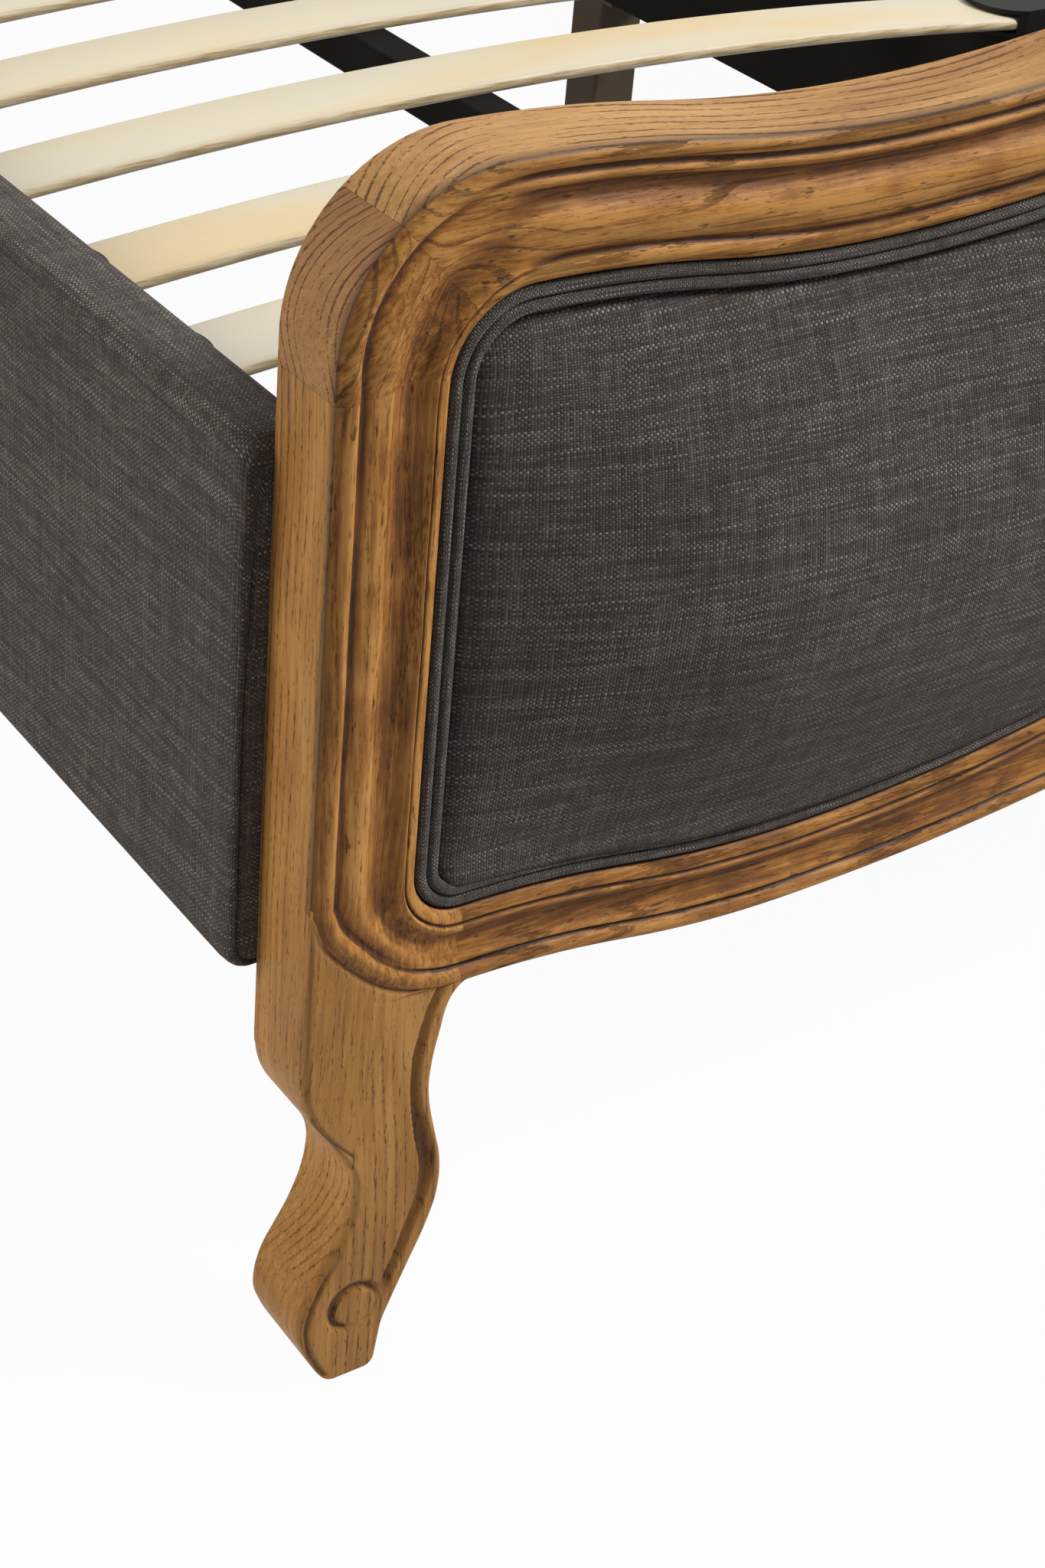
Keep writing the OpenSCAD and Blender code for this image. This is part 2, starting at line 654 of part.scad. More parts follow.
module mid_bar() {
    translate([bar_x - half_w, 0, bar_low + bar_w / 2])
        along(-half_l + 4, half_l - 4) tube_section(bar_w, bar_w, tube_wall, 2.5);
}

module cross_rail() {
    length = bed_w - 2 * rail_in - 2 * fit_gap;
    translate([-length / 2, -half_l + cross_gap + cross_w / 2, cross_low + cross_w / 2])
        rotate([90, 0, 90]) linear_extrude(length) tube_section(cross_w, cross_w, tube_wall, 2.5);
}

module beam() {
    difference() {
        translate([-beam_w / 2, -half_l + beam_end, beam_low])
            cube([beam_w, inner_l - 2 * beam_end, beam_h]);
        slat_rows() both() translate([slat_x1 - half_w, 0, cap_low - plate_t - 5])
            cylinder(d = peg_d + 2 * fit_gap, h = plate_t + 6);
    }
}

module hanger() {
    y0 = -half_l + cross_gap + cross_w;
    translate([-beam_w / 2 - plate_t, y0, beam_low - plate_t])
        cube([beam_w + 2 * plate_t, plate_t, cap_low - beam_low - 4]);
    translate([-beam_w / 2 - plate_t, y0, beam_low - plate_t])
        cube([beam_w + 2 * plate_t, hanger_l, plate_t]);
    both() translate([-beam_w / 2 - plate_t, y0, beam_low - plate_t])
        cube([plate_t, hanger_l, beam_h * 0.6]);
}

module leg_tube() {
    translate([0, 0, tube_low]) linear_extrude(beam_low - plate_t - tube_low)
        tube_section(leg_tube_x, leg_tube_y, tube_wall, tube_r);
    translate([-beam_w / 2, -leg_tube_y / 2 - leg_flange, beam_low - plate_t])
        cube([beam_w, leg_tube_y + 2 * leg_flange, plate_t]);
}

module plug() {
    difference() {
        union() {
            translate([-leg_tube_x / 2, -leg_tube_y / 2, tube_low - plug_flange])
                cube([leg_tube_x, leg_tube_y, plug_flange]);
            translate([0, 0, tube_low - 0.5]) linear_extrude(plug_l)
                rounded(-leg_tube_x / 2 + tube_wall + fit_gap, -leg_tube_y / 2 + tube_wall + fit_gap,
                    leg_tube_x / 2 - tube_wall - fit_gap, leg_tube_y / 2 - tube_wall - fit_gap, 1.2);
        }
        translate([0, 0, tube_low - plug_flange - 1])
            cylinder(d = screw_d + 2 * 0.05, h = plug_l + plug_flange + 3);
    }
}

module foot_and_screw() {
    cylinder(d1 = foot_d, d2 = foot_d * 0.8, h = foot_disc);
    translate([0, 0, foot_disc - 1]) cylinder(d = screw_d, h = screw_out + plug_flange + plug_l + 14);
}

module glide(x, w) {
    translate([x - half_w, foot_back - board_t * 0.48, 0]) linear_extrude(glide_t)
        rounded(-w / 2, -board_t * 0.32, w / 2, board_t * 0.32, 3);
}

// Nodes
module foot_post_left() color(wood) stand(foot_back) post(foot_wave, foot_leg_out, foot_leg_in, 0);
module foot_post_right() color(wood) flip() foot_post_left();
module foot_corner_left() color(wood) stand(foot_back) corner_block(foot_wave);
module foot_corner_right() color(wood) flip() foot_corner_left();
module foot_top_rail() color(wood) stand(foot_back) top_rail(foot_wave);
module foot_bottom_rail() color(wood) stand(foot_back) bottom_rail();
module foot_panel_board() color(ply) stand(foot_back) panel_board(foot_wave);
module foot_panel_pad() color(cloth) stand(foot_back) pad(foot_wave, 1);
module foot_piping_outer() color(cloth) stand(foot_back) piping(foot_wave, cord_n);
module foot_piping_inner() color(cloth) stand(foot_back) piping(foot_wave, cord_n - cord_step);
module foot_back_panel() color(cloth) stand(foot_back) back_panel(foot_wave);
module foot_dowels() color(ply) stand(foot_back) both() left_half() frame_dowels(foot_wave, 0);

module head_post_left() color(wood) stand(head_back) post(head_wave, head_leg_out, head_leg_in, 1);
module head_post_right() color(wood) flip() head_post_left();
module head_corner_left() color(wood) stand(head_back) corner_block(head_wave);
module head_corner_right() color(wood) flip() head_corner_left();
module head_top_rail() color(wood) stand(head_back) top_rail(head_wave);
module head_bottom_rail() color(wood) stand(head_back) bottom_rail();
module head_panel_board() color(ply) stand(head_back) panel_board(head_wave);
module head_panel_pad() color(cloth) stand(head_back) pad(head_wave, 5);
module head_piping_outer() color(cloth) stand(head_back) piping(head_wave, cord_n);
module head_piping_inner() color(cloth) stand(head_back) piping(head_wave, cord_n - cord_step);
module head_back_panel() color(cloth) stand(head_back) back_panel(head_wave);
module head_dowels() color(ply) stand(head_back) both() left_half() frame_dowels(head_wave, 0);

module left_rail_core() color(ply) rail_core();
module left_rail_cover() color(cloth) rail_cover();
module left_ledger() color(black) ledger();
module right_rail_core() color(ply) flip() rail_core();
module right_rail_cover() color(cloth) flip() rail_cover();
module right_ledger() color(black) flip() ledger();
module corner_brackets() color(black) at_corners() bracket();
module bracket_bolts() color(zinc) at_corners() corner_bolts(0, true);
module foot_cross_rail() color(black) cross_rail();
module head_cross_rail() color(black) mirror([0, 1, 0]) cross_rail();
module centre_beam() color(black) beam();
module beam_hangers() color(black) for (y = [0, 1]) mirror([0, y, 0]) hanger();
module mid_bar_left() color(black) mid_bar();
module mid_bar_right() color(black) flip() mid_bar();
module slats_left() color(ply) slat_rows() slat();
module slats_right() color(ply) flip() slat_rows() slat();
module slat_caps_left() color(plastic) slat_rows() translate([slat_x0 - half_w, 0, 0]) cap(cap_wall, slat_grip / 2);
module slat_caps_right() color(plastic) flip() slat_caps_left();
module slat_caps_centre() color(plastic) slat_rows() both() translate([slat_x1 - half_w, 0, 0])
    mirror([1, 0, 0]) cap(half_w - slat_x1, 0);
module centre_leg() color(steel) translate([0, foot_back + leg_y, 0]) leg_tube();
module leg_plug() color(plastic) translate([0, foot_back + leg_y, 0]) plug();
module levelling_foot() color(plastic) translate([0, foot_back + leg_y, 0]) foot_and_screw();
module floor_glides() color(plastic) {
    both() glide(foot_toe, foot_toe_w);
    both() mirror([0, 1, 0]) glide(8 + head_leg_w / 2, head_leg_w * 0.7);
}

foot_post_left();
foot_post_right();
foot_corner_left();
foot_corner_right();
foot_top_rail();
foot_bottom_rail();
foot_panel_board();
foot_panel_pad();
foot_piping_outer();
foot_piping_inner();
foot_back_panel();
foot_dowels();
head_post_left();
head_post_right();
head_corner_left();
head_corner_right();
head_top_rail();
head_bottom_rail();
head_panel_board();
head_panel_pad();
head_piping_outer();
head_piping_inner();
head_back_panel();
head_dowels();
left_rail_core();
left_rail_cover();
left_ledger();
right_rail_core();
right_rail_cover();
right_ledger();
corner_brackets();
bracket_bolts();
foot_cross_rail();
head_cross_rail();
centre_beam();
beam_hangers();
mid_bar_left();
mid_bar_right();
slats_left();
slats_right();
slat_caps_left();
slat_caps_right();
slat_caps_centre();
centre_leg();
leg_plug();
levelling_foot();
floor_glides();
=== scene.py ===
"""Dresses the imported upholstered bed: carved oak end boards, grey woven pads, padded rails, sprung slats."""

from __future__ import annotations

import logging
import math
from dataclasses import dataclass, field
from enum import Enum
from typing import Sequence

import bmesh
import bpy
import numpy as np
from mathutils import Matrix, Vector

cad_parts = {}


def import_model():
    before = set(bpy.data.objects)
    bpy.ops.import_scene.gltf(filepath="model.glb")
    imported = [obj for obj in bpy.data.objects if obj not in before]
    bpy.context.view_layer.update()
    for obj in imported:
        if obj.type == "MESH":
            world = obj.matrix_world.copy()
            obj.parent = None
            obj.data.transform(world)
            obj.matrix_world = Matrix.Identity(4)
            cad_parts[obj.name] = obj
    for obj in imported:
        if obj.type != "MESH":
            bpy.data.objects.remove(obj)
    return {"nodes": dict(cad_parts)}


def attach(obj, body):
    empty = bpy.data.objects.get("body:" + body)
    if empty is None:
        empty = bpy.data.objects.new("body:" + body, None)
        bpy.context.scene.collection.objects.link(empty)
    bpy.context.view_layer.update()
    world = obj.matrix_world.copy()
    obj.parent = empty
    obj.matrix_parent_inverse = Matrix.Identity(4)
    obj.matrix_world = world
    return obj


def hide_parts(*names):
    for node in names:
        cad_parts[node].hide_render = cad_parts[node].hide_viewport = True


LOG = logging.getLogger("bed")
MM = 0.001
MIRROR = Matrix.Scale(-1, 4, (1, 0, 0))
Point = tuple[float, float]
Piece = bpy.types.Object


def linear(code: str) -> tuple[float, float, float, float]:
    """Turns an sRGB hex colour into linear RGBA."""
    parts = [int(code[i : i + 2], 16) / 255 for i in (1, 3, 5)]
    r, g, b = (c / 12.92 if c <= 0.04045 else ((c + 0.055) / 1.055) ** 2.4 for c in parts)
    return (r, g, b, 1.0)


def spread(low: float, high: float, steps: int) -> np.ndarray:
    """Even values from low to high, both included."""
    return np.linspace(low, high, steps + 1)


def graded(places: Sequence[float], steps: Sequence[int]) -> np.ndarray:
    """Values through places, with a number of even steps from each to the next."""
    parts = [spread(a, b, n)[1:] for a, b, n in zip(places, places[1:], steps)]
    return np.concatenate([[places[0]], *parts])


def smoothstep(low: float, high: float, value: np.ndarray) -> np.ndarray:
    """Smooth ramp from 0 at low to 1 at high."""
    t = np.clip((value - low) / (high - low), 0, 1)
    return t * t * (3 - 2 * t)


def curve_through(points: Sequence[Point], steps: int) -> np.ndarray:
    """A smooth curve through points.

    Args:
        points: places that the curve passes.
        steps: segments between two of them.

    Returns:
        The curve's points, with the last of points at the end.
    """
    p = np.array(points, float)
    out = []
    for i in range(len(p) - 1):
        a, b, c, d = p[max(0, i - 1)], p[i], p[i + 1], p[min(len(p) - 1, i + 2)]
        for t in np.arange(steps) / steps:
            cubed = (-a + 3 * b - 3 * c + d) * t**3
            squared = (2 * a - 5 * b + 4 * c - d) * t**2
            out.append((cubed + squared + (c - a) * t + 2 * b) / 2)
    out.append(p[-1])
    return np.array(out)


def across_at(points: Sequence[Point], z: np.ndarray) -> np.ndarray:
    """How far across a curve that falls through points is at heights z."""
    line = curve_through(points, 8)
    return np.interp(-z, -line[:, 1], line[:, 0])


def run_along(line: np.ndarray) -> np.ndarray:
    """Length of a line up to each of its points."""
    return np.concatenate([[0], np.cumsum(np.linalg.norm(np.diff(line, axis=0), axis=1))])


def even_points(line: np.ndarray, count: int) -> np.ndarray:
    """Points at even steps along a flat line."""
    run = run_along(line)
    at = np.linspace(0, run[-1], count)
    return np.stack([np.interp(at, run, line[:, 0]), np.interp(at, run, line[:, 1])], 1)


def lifted(flat: np.ndarray, heights: np.ndarray) -> np.ndarray:
    """Rows of flat points, m by n by 2, with the same n heights in each row."""
    return np.concatenate([flat, np.broadcast_to(heights[None, :, None], (*flat.shape[:2], 1))], 2)


def rounded_box(low: Point, high: Point, radius: float, steps: int) -> np.ndarray:
    """Outline of a box with round corners.

    Args:
        low: its lowest corner.
        high: its highest corner.
        radius: radius of the corners.
        steps: segments in each corner.

    Returns:
        The outline's points, from the lower right corner up and round.
    """
    (x0, z0), (x1, z1), r = low, high, radius
    out = []
    middles = ((x1 - r, z0 + r), (x1 - r, z1 - r), (x0 + r, z1 - r), (x0 + r, z0 + r))
    for (x, z), start in zip(middles, (-90, 0, 90, 180)):
        for a in np.radians(spread(start, start + 90, steps)):
            out.append((x + r * math.cos(a), z + r * math.sin(a)))
    return np.array(out)


def distance_to(line: np.ndarray, where: np.ndarray) -> tuple[np.ndarray, np.ndarray]:
    """Shortest way from points to a broken line.

    Args:
        line: the line's corners, n by 2.
        where: the points, m by 2.

    Returns:
        The distance of each point, and the nearest place on the line.
    """
    a, b = line[:-1], line[1:]
    ab = b - a
    t = np.einsum("mnk,nk->mn", where[:, None] - a, ab) / np.maximum((ab**2).sum(1), 1e-12)
    near = a + np.clip(t, 0, 1)[..., None] * ab
    gap = np.linalg.norm(where[:, None] - near, axis=2)
    best = gap.argmin(1)
    rows = np.arange(len(where))
    return gap[rows, best], near[rows, best]


# Meshes


def deselect() -> None:
    """Leaves edit mode and deselects everything."""
    if bpy.context.object and bpy.context.object.mode != "OBJECT":
        bpy.ops.object.mode_set(mode="OBJECT")
    bpy.ops.object.select_all(action="DESELECT")


def activate(piece: Piece) -> None:
    """Selects one object alone and makes it active."""
    deselect()
    piece.select_set(True)
    bpy.context.view_layer.objects.active = piece


def finish_mesh(piece: Piece, angle: float) -> Piece:
    """Merges doubles, turns the faces outwards and shades smooth below an angle in degrees."""
    activate(piece)
    bpy.ops.object.mode_set(mode="EDIT")
    bpy.ops.mesh.select_all(action="SELECT")
    bpy.ops.mesh.remove_doubles(threshold=0.001 * MM)
    bpy.ops.mesh.select_all(action="SELECT")
    bpy.ops.mesh.normals_make_consistent(inside=False)
    bpy.ops.object.mode_set(mode="OBJECT")
    bpy.ops.object.shade_smooth_by_angle(angle=math.radians(angle))
    return piece


def join(pieces: Sequence[Piece]) -> Piece:
    """Joins objects into the first."""
    activate(pieces[0])
    for p in pieces:
        p.select_set(True)
    bpy.ops.object.join()
    return pieces[0]


def copy_of(piece: Piece, matrix: Matrix) -> Piece:
    """A copy with its own mesh, moved by a matrix that goes into it; a mirror doesn't turn it inside out."""
    other = piece.copy()
    other.data = piece.data.copy()
    bpy.context.scene.collection.objects.link(other)
    other.data.transform(matrix)
    if matrix.determinant() < 0:
        other.data.flip_normals()
    return other


def put_uv(piece: Piece, u: np.ndarray, v: np.ndarray) -> None:
    """Writes a UV map in metres from two numbers a point."""
    layer = piece.data.uv_layers.active or piece.data.uv_layers.new(name="UVMap")
    loops = np.zeros(len(piece.data.loops), np.int32)
    piece.data.loops.foreach_get("vertex_index", loops)
    layer.data.foreach_set("uv", np.stack([u[loops], v[loops]], 1).astype(np.float32).ravel())


def bent_grid(name: str, rows: np.ndarray) -> Piece:
    """A grid bent to rows of points in metres, m by n by 3."""
    deselect()
    m, n = rows.shape[:2]
    bpy.ops.mesh.primitive_grid_add(x_subdivisions=n - 1, y_subdivisions=m - 1, size=1)
    piece = bpy.context.object
    piece.name = name
    piece.data.vertices.foreach_set("co", np.ascontiguousarray(rows, np.float32).ravel())
    piece.data.update()
    return piece


def wrapped(
    name: str,
    rings: np.ndarray,
    closed: bool = False,
    wax: np.ndarray | None = None,
    carved: np.ndarray | None = None,
    uv: tuple[np.ndarray, np.ndarray] | None = None,
    angle: float = 40.0,
) -> Piece:
    """A grid whose rows are bent into rings.

    Args:
        name: the piece's name.
        rings: rows of points in metres, m by n by 3, each ring open between its last and first point.
        closed: whether the last ring joins the first; otherwise both end rings get a cap.
        wax: how much wax, and painted shade in the grooves, lies on each point of rings.
        carved: how far each point of rings is on the carving.
        uv: the place along of each ring and the place round of each of its points, in metres.
        angle: faces meeting below this angle are shaded smooth.

    Returns:
        The finished object.
    """

    def wrap(values: np.ndarray) -> np.ndarray:
        """Repeats the first column, and the first row where the rings close."""
        values = np.concatenate([values, values[:, :1]], axis=1)
        return np.concatenate([values, values[:1]], axis=0) if closed else values

    rings = wrap(np.asarray(rings, float))
    piece = bent_grid(name, rings)
    for label, values in (("wax", wax), ("carved", carved)):
        if values is not None:
            layer = piece.data.attributes.new(label, "FLOAT", "POINT")
            layer.data.foreach_set("value", np.ascontiguousarray(wrap(values), np.float32).ravel())
    if uv is not None:
        along, around = uv
        put_uv(piece, np.repeat(along, rings.shape[1]), np.tile(around, rings.shape[0]))
    if not closed:
        activate(piece)
        bpy.ops.object.mode_set(mode="EDIT")
        bpy.ops.mesh.select_mode(type="EDGE")
        bpy.ops.mesh.select_all(action="SELECT")
        bpy.ops.mesh.remove_doubles(threshold=0.0001 * MM)
        bpy.ops.mesh.select_all(action="DESELECT")
        bpy.ops.mesh.select_non_manifold()
        bpy.ops.mesh.fill_holes(sides=0)
        bpy.ops.mesh.select_mode(type="FACE")
        mesh = bmesh.from_edit_mesh(piece.data)
        for face in mesh.faces:
            face.select_set(len(face.verts) > 4)
        bmesh.update_edit_mesh(piece.data)
        bpy.ops.mesh.quads_convert_to_tris(ngon_method="CLIP")
        bpy.ops.object.mode_set(mode="OBJECT")
    return finish_mesh(piece, angle)


# Finishes


Socket = bpy.types.NodeSocket
Triple = tuple[float, float, float]
# Makes a Map Range node a soft step from 0 to 1.
SOFT = {"interpolation_type": "SMOOTHSTEP"}


@dataclass
class Finish:
    """Base of all finishes: a material whose nodes end in one shader."""

    name: str
    data: bpy.types.Material | bpy.types.World = field(init=False)

    def __post_init__(self) -> None:
        """Makes the material and its nodes."""
        self.data = self.start()
        self.data.use_nodes = True
        self.data.node_tree.nodes.clear()
        self.build()

    def start(self) -> bpy.types.Material | bpy.types.World:
        """The empty material."""
        return bpy.data.materials.new(self.name)

    def build(self) -> None:
        """Makes the nodes of this finish."""
        raise NotImplementedError

    def add(self, kind: str, *values: object, out: int | str = 0, **named: object) -> Socket | None:
        """Adds a node with its settings and links.

        Args:
            kind: the node's type, without ShaderNode.
            values: a value or socket for each of the first inputs, or None to leave one as it is.
            out: the wanted output, by number or name.
            named: settings in small letters, a ramp's stops of place and hex colour as stops, and inputs
                with a capital, with _ for a space.

        Returns:
            The wanted output, or None where the node has none.
        """
        tree = self.data.node_tree
        node = tree.nodes.new(f"ShaderNode{kind}")
        inputs: dict[int | str, object] = dict(enumerate(values))
        for key, value in named.items():
            if key[0].isupper():
                inputs[key.replace("_", " ")] = value
            elif key == "stops":
                ends = node.color_ramp.elements
                while len(ends) < len(value):
                    ends.new(0.5)
                for end, (place, code) in zip(ends, value):
                    end.position = place
                    end.color = linear(code)
            else:
                setattr(node, key, value)
        for key, value in inputs.items():
            if isinstance(value, Socket):
                tree.links.new(value, node.inputs[key])
            elif value is not None:
                node.inputs[key].default_value = value
        return node.outputs[out] if node.outputs else None

    def product(self, *values: object) -> Socket:
        """Values multiplied with each other."""
        result = values[0]
        for value in values[1:]:
            result = self.add("Math", result, value, operation="MULTIPLY")
        return result

    def total(self, *terms: object) -> Socket:
        """The sum of terms, where a pair stands for a value and its weight."""
        parts = [self.product(*term) if isinstance(term, tuple) else term for term in terms]
        result = parts[0]
        for part in parts[1:]:
            result = self.add("Math", result, part, operation="ADD")
        return result

    def streaks(self, where: Socket, per_metre: Triple, detail: float = 2.0, rough: float = 0.5) -> Socket:
        """Noise from 0 to 1 that is finer one way than another.

        Args:
            where: the place.
            per_metre: patches per metre along X, Y and Z.
            detail: layers of finer noise.
            rough: weight of the finer noise.

        Returns:
            The noise.
        """
        place = self.add("Mapping", where, Scale=per_metre)
        return self.add("TexNoise", place, Scale=1.0, Detail=detail, Roughness=rough)

    def swayed(self, where: Socket, per_metre: Triple, reach: float) -> Socket:
        """A place moved by noise, by up to half of reach in metres each way."""
        sway = self.streaks(where, per_metre, 1.0).node.outputs["Color"]
        sway = self.add("VectorMath", sway, (0.5, 0.5, 0.5), operation="SUBTRACT")
        sway = self.add("VectorMath", sway, Scale=reach, operation="SCALE")
        return self.add("VectorMath", where, sway, operation="ADD")

    def coated(self, base: Socket, *coats: tuple[object, Socket | str], way: str = "MIX") -> Socket:
        """A colour with coats laid over it.

        Args:
            base: the colour below.
            coats: how much of each coat shows, and its colour as a socket or in hex.
            way: how each coat blends with what is below it.

        Returns:
            The colour that results.
        """
        # Between a Mix node's factor and its colours lie five inputs for numbers and vectors.
        skipped = [None] * 5
        for share, coat in coats:
            coat = linear(coat) if isinstance(coat, str) else coat
            base = self.add("Mix", share, *skipped, base, coat, data_type="RGBA", blend_type=way, out=2)
        return base

    def surface(self, colour: Socket, rough: object, bump: Socket, depth: float, **fixed: float) -> None:
        """Ends the tree in a Principled shader.

        Args:
            colour: base colour.
            rough: roughness.
            bump: height for the bump.
            depth: bump distance in metres.
            fixed: other inputs that are the same all over, by their name with _ for a space.
        """
        normal = self.add("Bump", Height=bump, Distance=depth, Strength=1.0)
        shader = self.add("BsdfPrincipled", Base_Color=colour, Roughness=rough, Normal=normal, **fixed)
        self.add("OutputMaterial", shader)

    def dress(self, piece: Piece) -> None:
        """Gives this finish alone to a piece."""
        piece.data.materials.clear()
        piece.data.materials.append(self.data)


class Grain(Enum):
    """Way the grain runs in a piece of timber, as the turn that brings it to X."""

    ACROSS = (0.0, 0.0, 0.0)
    UPRIGHT = (0.0, math.radians(90), 0.0)
    SLANTED = (0.0, math.radians(48), math.radians(30))


@dataclass
class WaxedOak(Finish):
    """Solid oak, planed, carved on the front, brushed with dark wax and rubbed to satin.

    The eye sees honey-brown timber with rows of fine dark pores along the grain. On the carved front the wax
    stays as brown clouds and is rubbed off the ridges; the nearly black lines in the grooves are partly wax
    and partly painted shade. pith is the tree's middle, rows says how strongly the pores gather in rows, and
    extra_shade darkens the carving as painted shade.
    """

    grain: Grain = Grain.ACROSS
    pith: Triple = (0.0, 0.06, 0.11)
    ring_mm: float = 3.8
    pale: str = "#ba894c"
    middle: str = "#a5743a"
    deep: str = "#80552a"
    rows: float = 0.25
    extra_shade: float = 0.0

    def build(self) -> None:
        """Makes year rings, pores, clouds and wax."""
        where = self.add("TexCoord", out="Object")
        wood = self.add("Mapping", where, Location=self.pith, Rotation=self.grain.value)
        # The stem sways by up to 15 mm over 300 mm of its length.
        bent = self.swayed(wood, (3.2, 8.0, 8.0), 0.03)
        y, z = self.add("SeparateXYZ", bent).node.outputs[1:]
        ring = self.add("Math", self.total((y, y), (z, z)), operation="SQRT")
        # A year ring is 3.6 to 5.2 mm wide, with its large pores in one thin row where year nears 1.
        year = self.add("Math", self.product(ring, 2000.0 / self.ring_mm), 1.0, operation="PINGPONG")
        row = self.add("MapRange", year, 0.60, 0.92, **SOFT)
        # Some years had wide rows and some hardly any, so the rows differ.
        rank = self.add("Math", self.total((ring, 1000.0 / self.ring_mm), 0.5), operation="FLOOR")
        luck = self.add("CombineXYZ", self.product(rank, 0.77), 3.1, 0.4)
        luck = self.add("TexNoise", luck, Scale=1.0, Detail=0.0)
        gap = self.add("TexNoise", where, Scale=16.0, Detail=1.0)
        luck = self.add("MapRange", luck, 0.22, 0.50, **SOFT)
        row = self.product(row, luck, self.add("MapRange", gap, 0.26, 0.50, **SOFT))
        # Pores are 0.3 mm wide on real oak; here 0.8 mm wide and 7 mm long, so that they show.
        pore = self.total(self.streaks(bent, (150.0, 1300.0, 1300.0), 2.0, 0.6), (row, self.rows))
        pore = self.add("MapRange", pore, 0.62, 0.73, **SOFT)
        # Streaks of late wood are 3 mm wide, and clouds of colour 60 mm.
        streak = self.streaks(bent, (9.0, 330.0, 330.0), 4.0, 0.7)
        cloud = self.streaks(wood, (5.0, 16.0, 16.0))
        tone = self.total((streak, 0.42), (cloud, 0.5), (row, 0.07))
        bare = self.add("ValToRGB", tone, stops=((0.36, self.pale), (0.47, self.middle), (0.60, self.deep)))
        # wax holds real wax and, in the grooves, painted shade, from 0 on ridges to 1 in narrow grooves.
        wax = self.add("Attribute", attribute_name="wax", out="Fac")
        carved = self.add("Attribute", attribute_name="carved", out="Fac")
        # Wax lies in patches 30 mm wide and in lines 2.4 mm wide along the grain.
        patchy = self.add("TexNoise", where, Scale=30.0, Detail=4.0, Roughness=0.65)
        line = self.streaks(bent, (22.0, 420.0, 420.0), 3.0, 0.65)
        # The grooves come out darker from wax and painted shade alike; extra_shade darkens a whole piece as
        # painted shade.
        stain = self.total((wax, 0.62), (patchy, 0.5), (line, 0.7), self.extra_shade - 0.25)
        browns = (
            (0.28, "#b98545"), (0.42, "#9b672f"), (0.56, "#774a20"), (0.74, "#4c2d15"), (0.95, "#28170b"),
        )
        rubbed = self.add("ValToRGB", stain, stops=browns)
        # Old bruises that caught the wax, up to 10 mm long, on the carving only.
        marks = self.streaks(wood, (70.0, 260.0, 260.0), 2.0, 0.6)
        marks = self.product(self.add("MapRange", marks, 0.65, 0.73, **SOFT), carved, 0.7)
        colour = self.coated(
            bare,
            (self.product(pore, 0.78), "#4a2d15"),
            (carved, self.coated(rubbed, (self.product(pore, 0.5), "#2f1a0b"))),
            # Off the carving, as on the leg, wax lays dark brown in the grooves: partly wax, partly painted
            # shade.
            (self.product(self.total(wax, (carved, -0.8)), 0.85), "#3b2411"),
            (marks, "#25150a"),
        )
        rough = self.total(0.52, (pore, 0.2), (carved, 0.03))
        height = self.total((streak, 0.3), (pore, -0.6), (marks, -1.0))
        self.surface(colour, rough, height, 0.0003, Specular_IOR_Level=0.2)


@dataclass
class LinenWeave(Finish):
    """Polyester cloth in a plain weave like linen: charcoal threads with paler slubs, mostly the level ones.

    The eye sees fine level dashes of grey, fainter upright lines, and dark gaps at the crossings, which are
    painted shade between the threads. The threads are drawn somewhat coarser than the real ones, so that they
    show. lift makes the whole cloth paler.
    """

    upright_mm: float = 1.45
    level_mm: float = 1.18
    lift: float = 0.0

    def thread(self, along: Socket, index: Socket, seed: float) -> Socket:
        """Brightness of one thread along its length.

        Args:
            along: place along the thread in metres.
            index: the thread's number.
            seed: tells warp from weft.

        Returns:
            A value from 0 to 1.
        """
        place = self.add("CombineXYZ", along, index, seed)
        # Slubs are 45 mm long and their ends 8 mm; threads that lie together share a tone.
        slub = self.streaks(place, (22.0, 7.31, 1.0), 1.0)
        end = self.streaks(place, (130.0, 11.7, 1.0), 1.0)
        group = self.streaks(place, (9.0, 0.16, 1.0), 1.0)
        return self.total((slub, 0.5), (end, 0.38), (group, 0.15))

    def build(self) -> None:
        """Makes the woven threads from the UV map, which is in metres."""
        # Threads stray by up to 1 mm over 33 mm.
        cloth = self.swayed(self.add("UVMap"), (30.0, 30.0, 30.0), 0.002)
        u, v = self.add("SeparateXYZ", cloth).node.outputs[:2]
        numbers, humps = [], []
        for place, spacing in ((u, self.upright_mm), (v, self.level_mm)):
            count = self.product(place, 1000.0 / spacing)
            numbers.append(self.add("Math", count, operation="FLOOR"))
            turn = self.product(self.add("Math", count, operation="FRACT"), math.pi)
            humps.append(self.add("Math", turn, operation="SINE"))
        over = self.add("Math", self.total(*numbers), 1.0, operation="PINGPONG")
        charcoals = ((0.34, "#35302d"), (0.50, "#47413d"), (0.62, "#5c5651"), (0.74, "#716b66"))
        upright = self.add("ValToRGB", self.thread(v, numbers[0], 1.7), stops=charcoals)
        greys = ((0.34, "#403934"), (0.48, "#5a524c"), (0.57, "#766e68"), (0.69, "#9a938e"))
        level = self.add("ValToRGB", self.thread(u, numbers[1], 9.3), stops=greys)
        # The threads darken towards their edges and crossings: painted shade between the threads.
        hump = self.add("Math", self.product(*humps), 0.0, operation="MAXIMUM")
        hump = self.add("Math", hump, operation="SQRT")
        shade = self.total(0.46 + self.lift, (hump, 0.58))
        grey = self.add("CombineXYZ", shade, shade, shade)
        colour = self.coated(self.coated(level, (over, upright)), (1.0, grey), way="MULTIPLY")
        gloss = {"Specular_IOR_Level": 0.15, "Sheen_Weight": 0.05, "Sheen_Roughness": 0.5}
        self.surface(colour, 0.9, hump, 0.0004, **gloss)


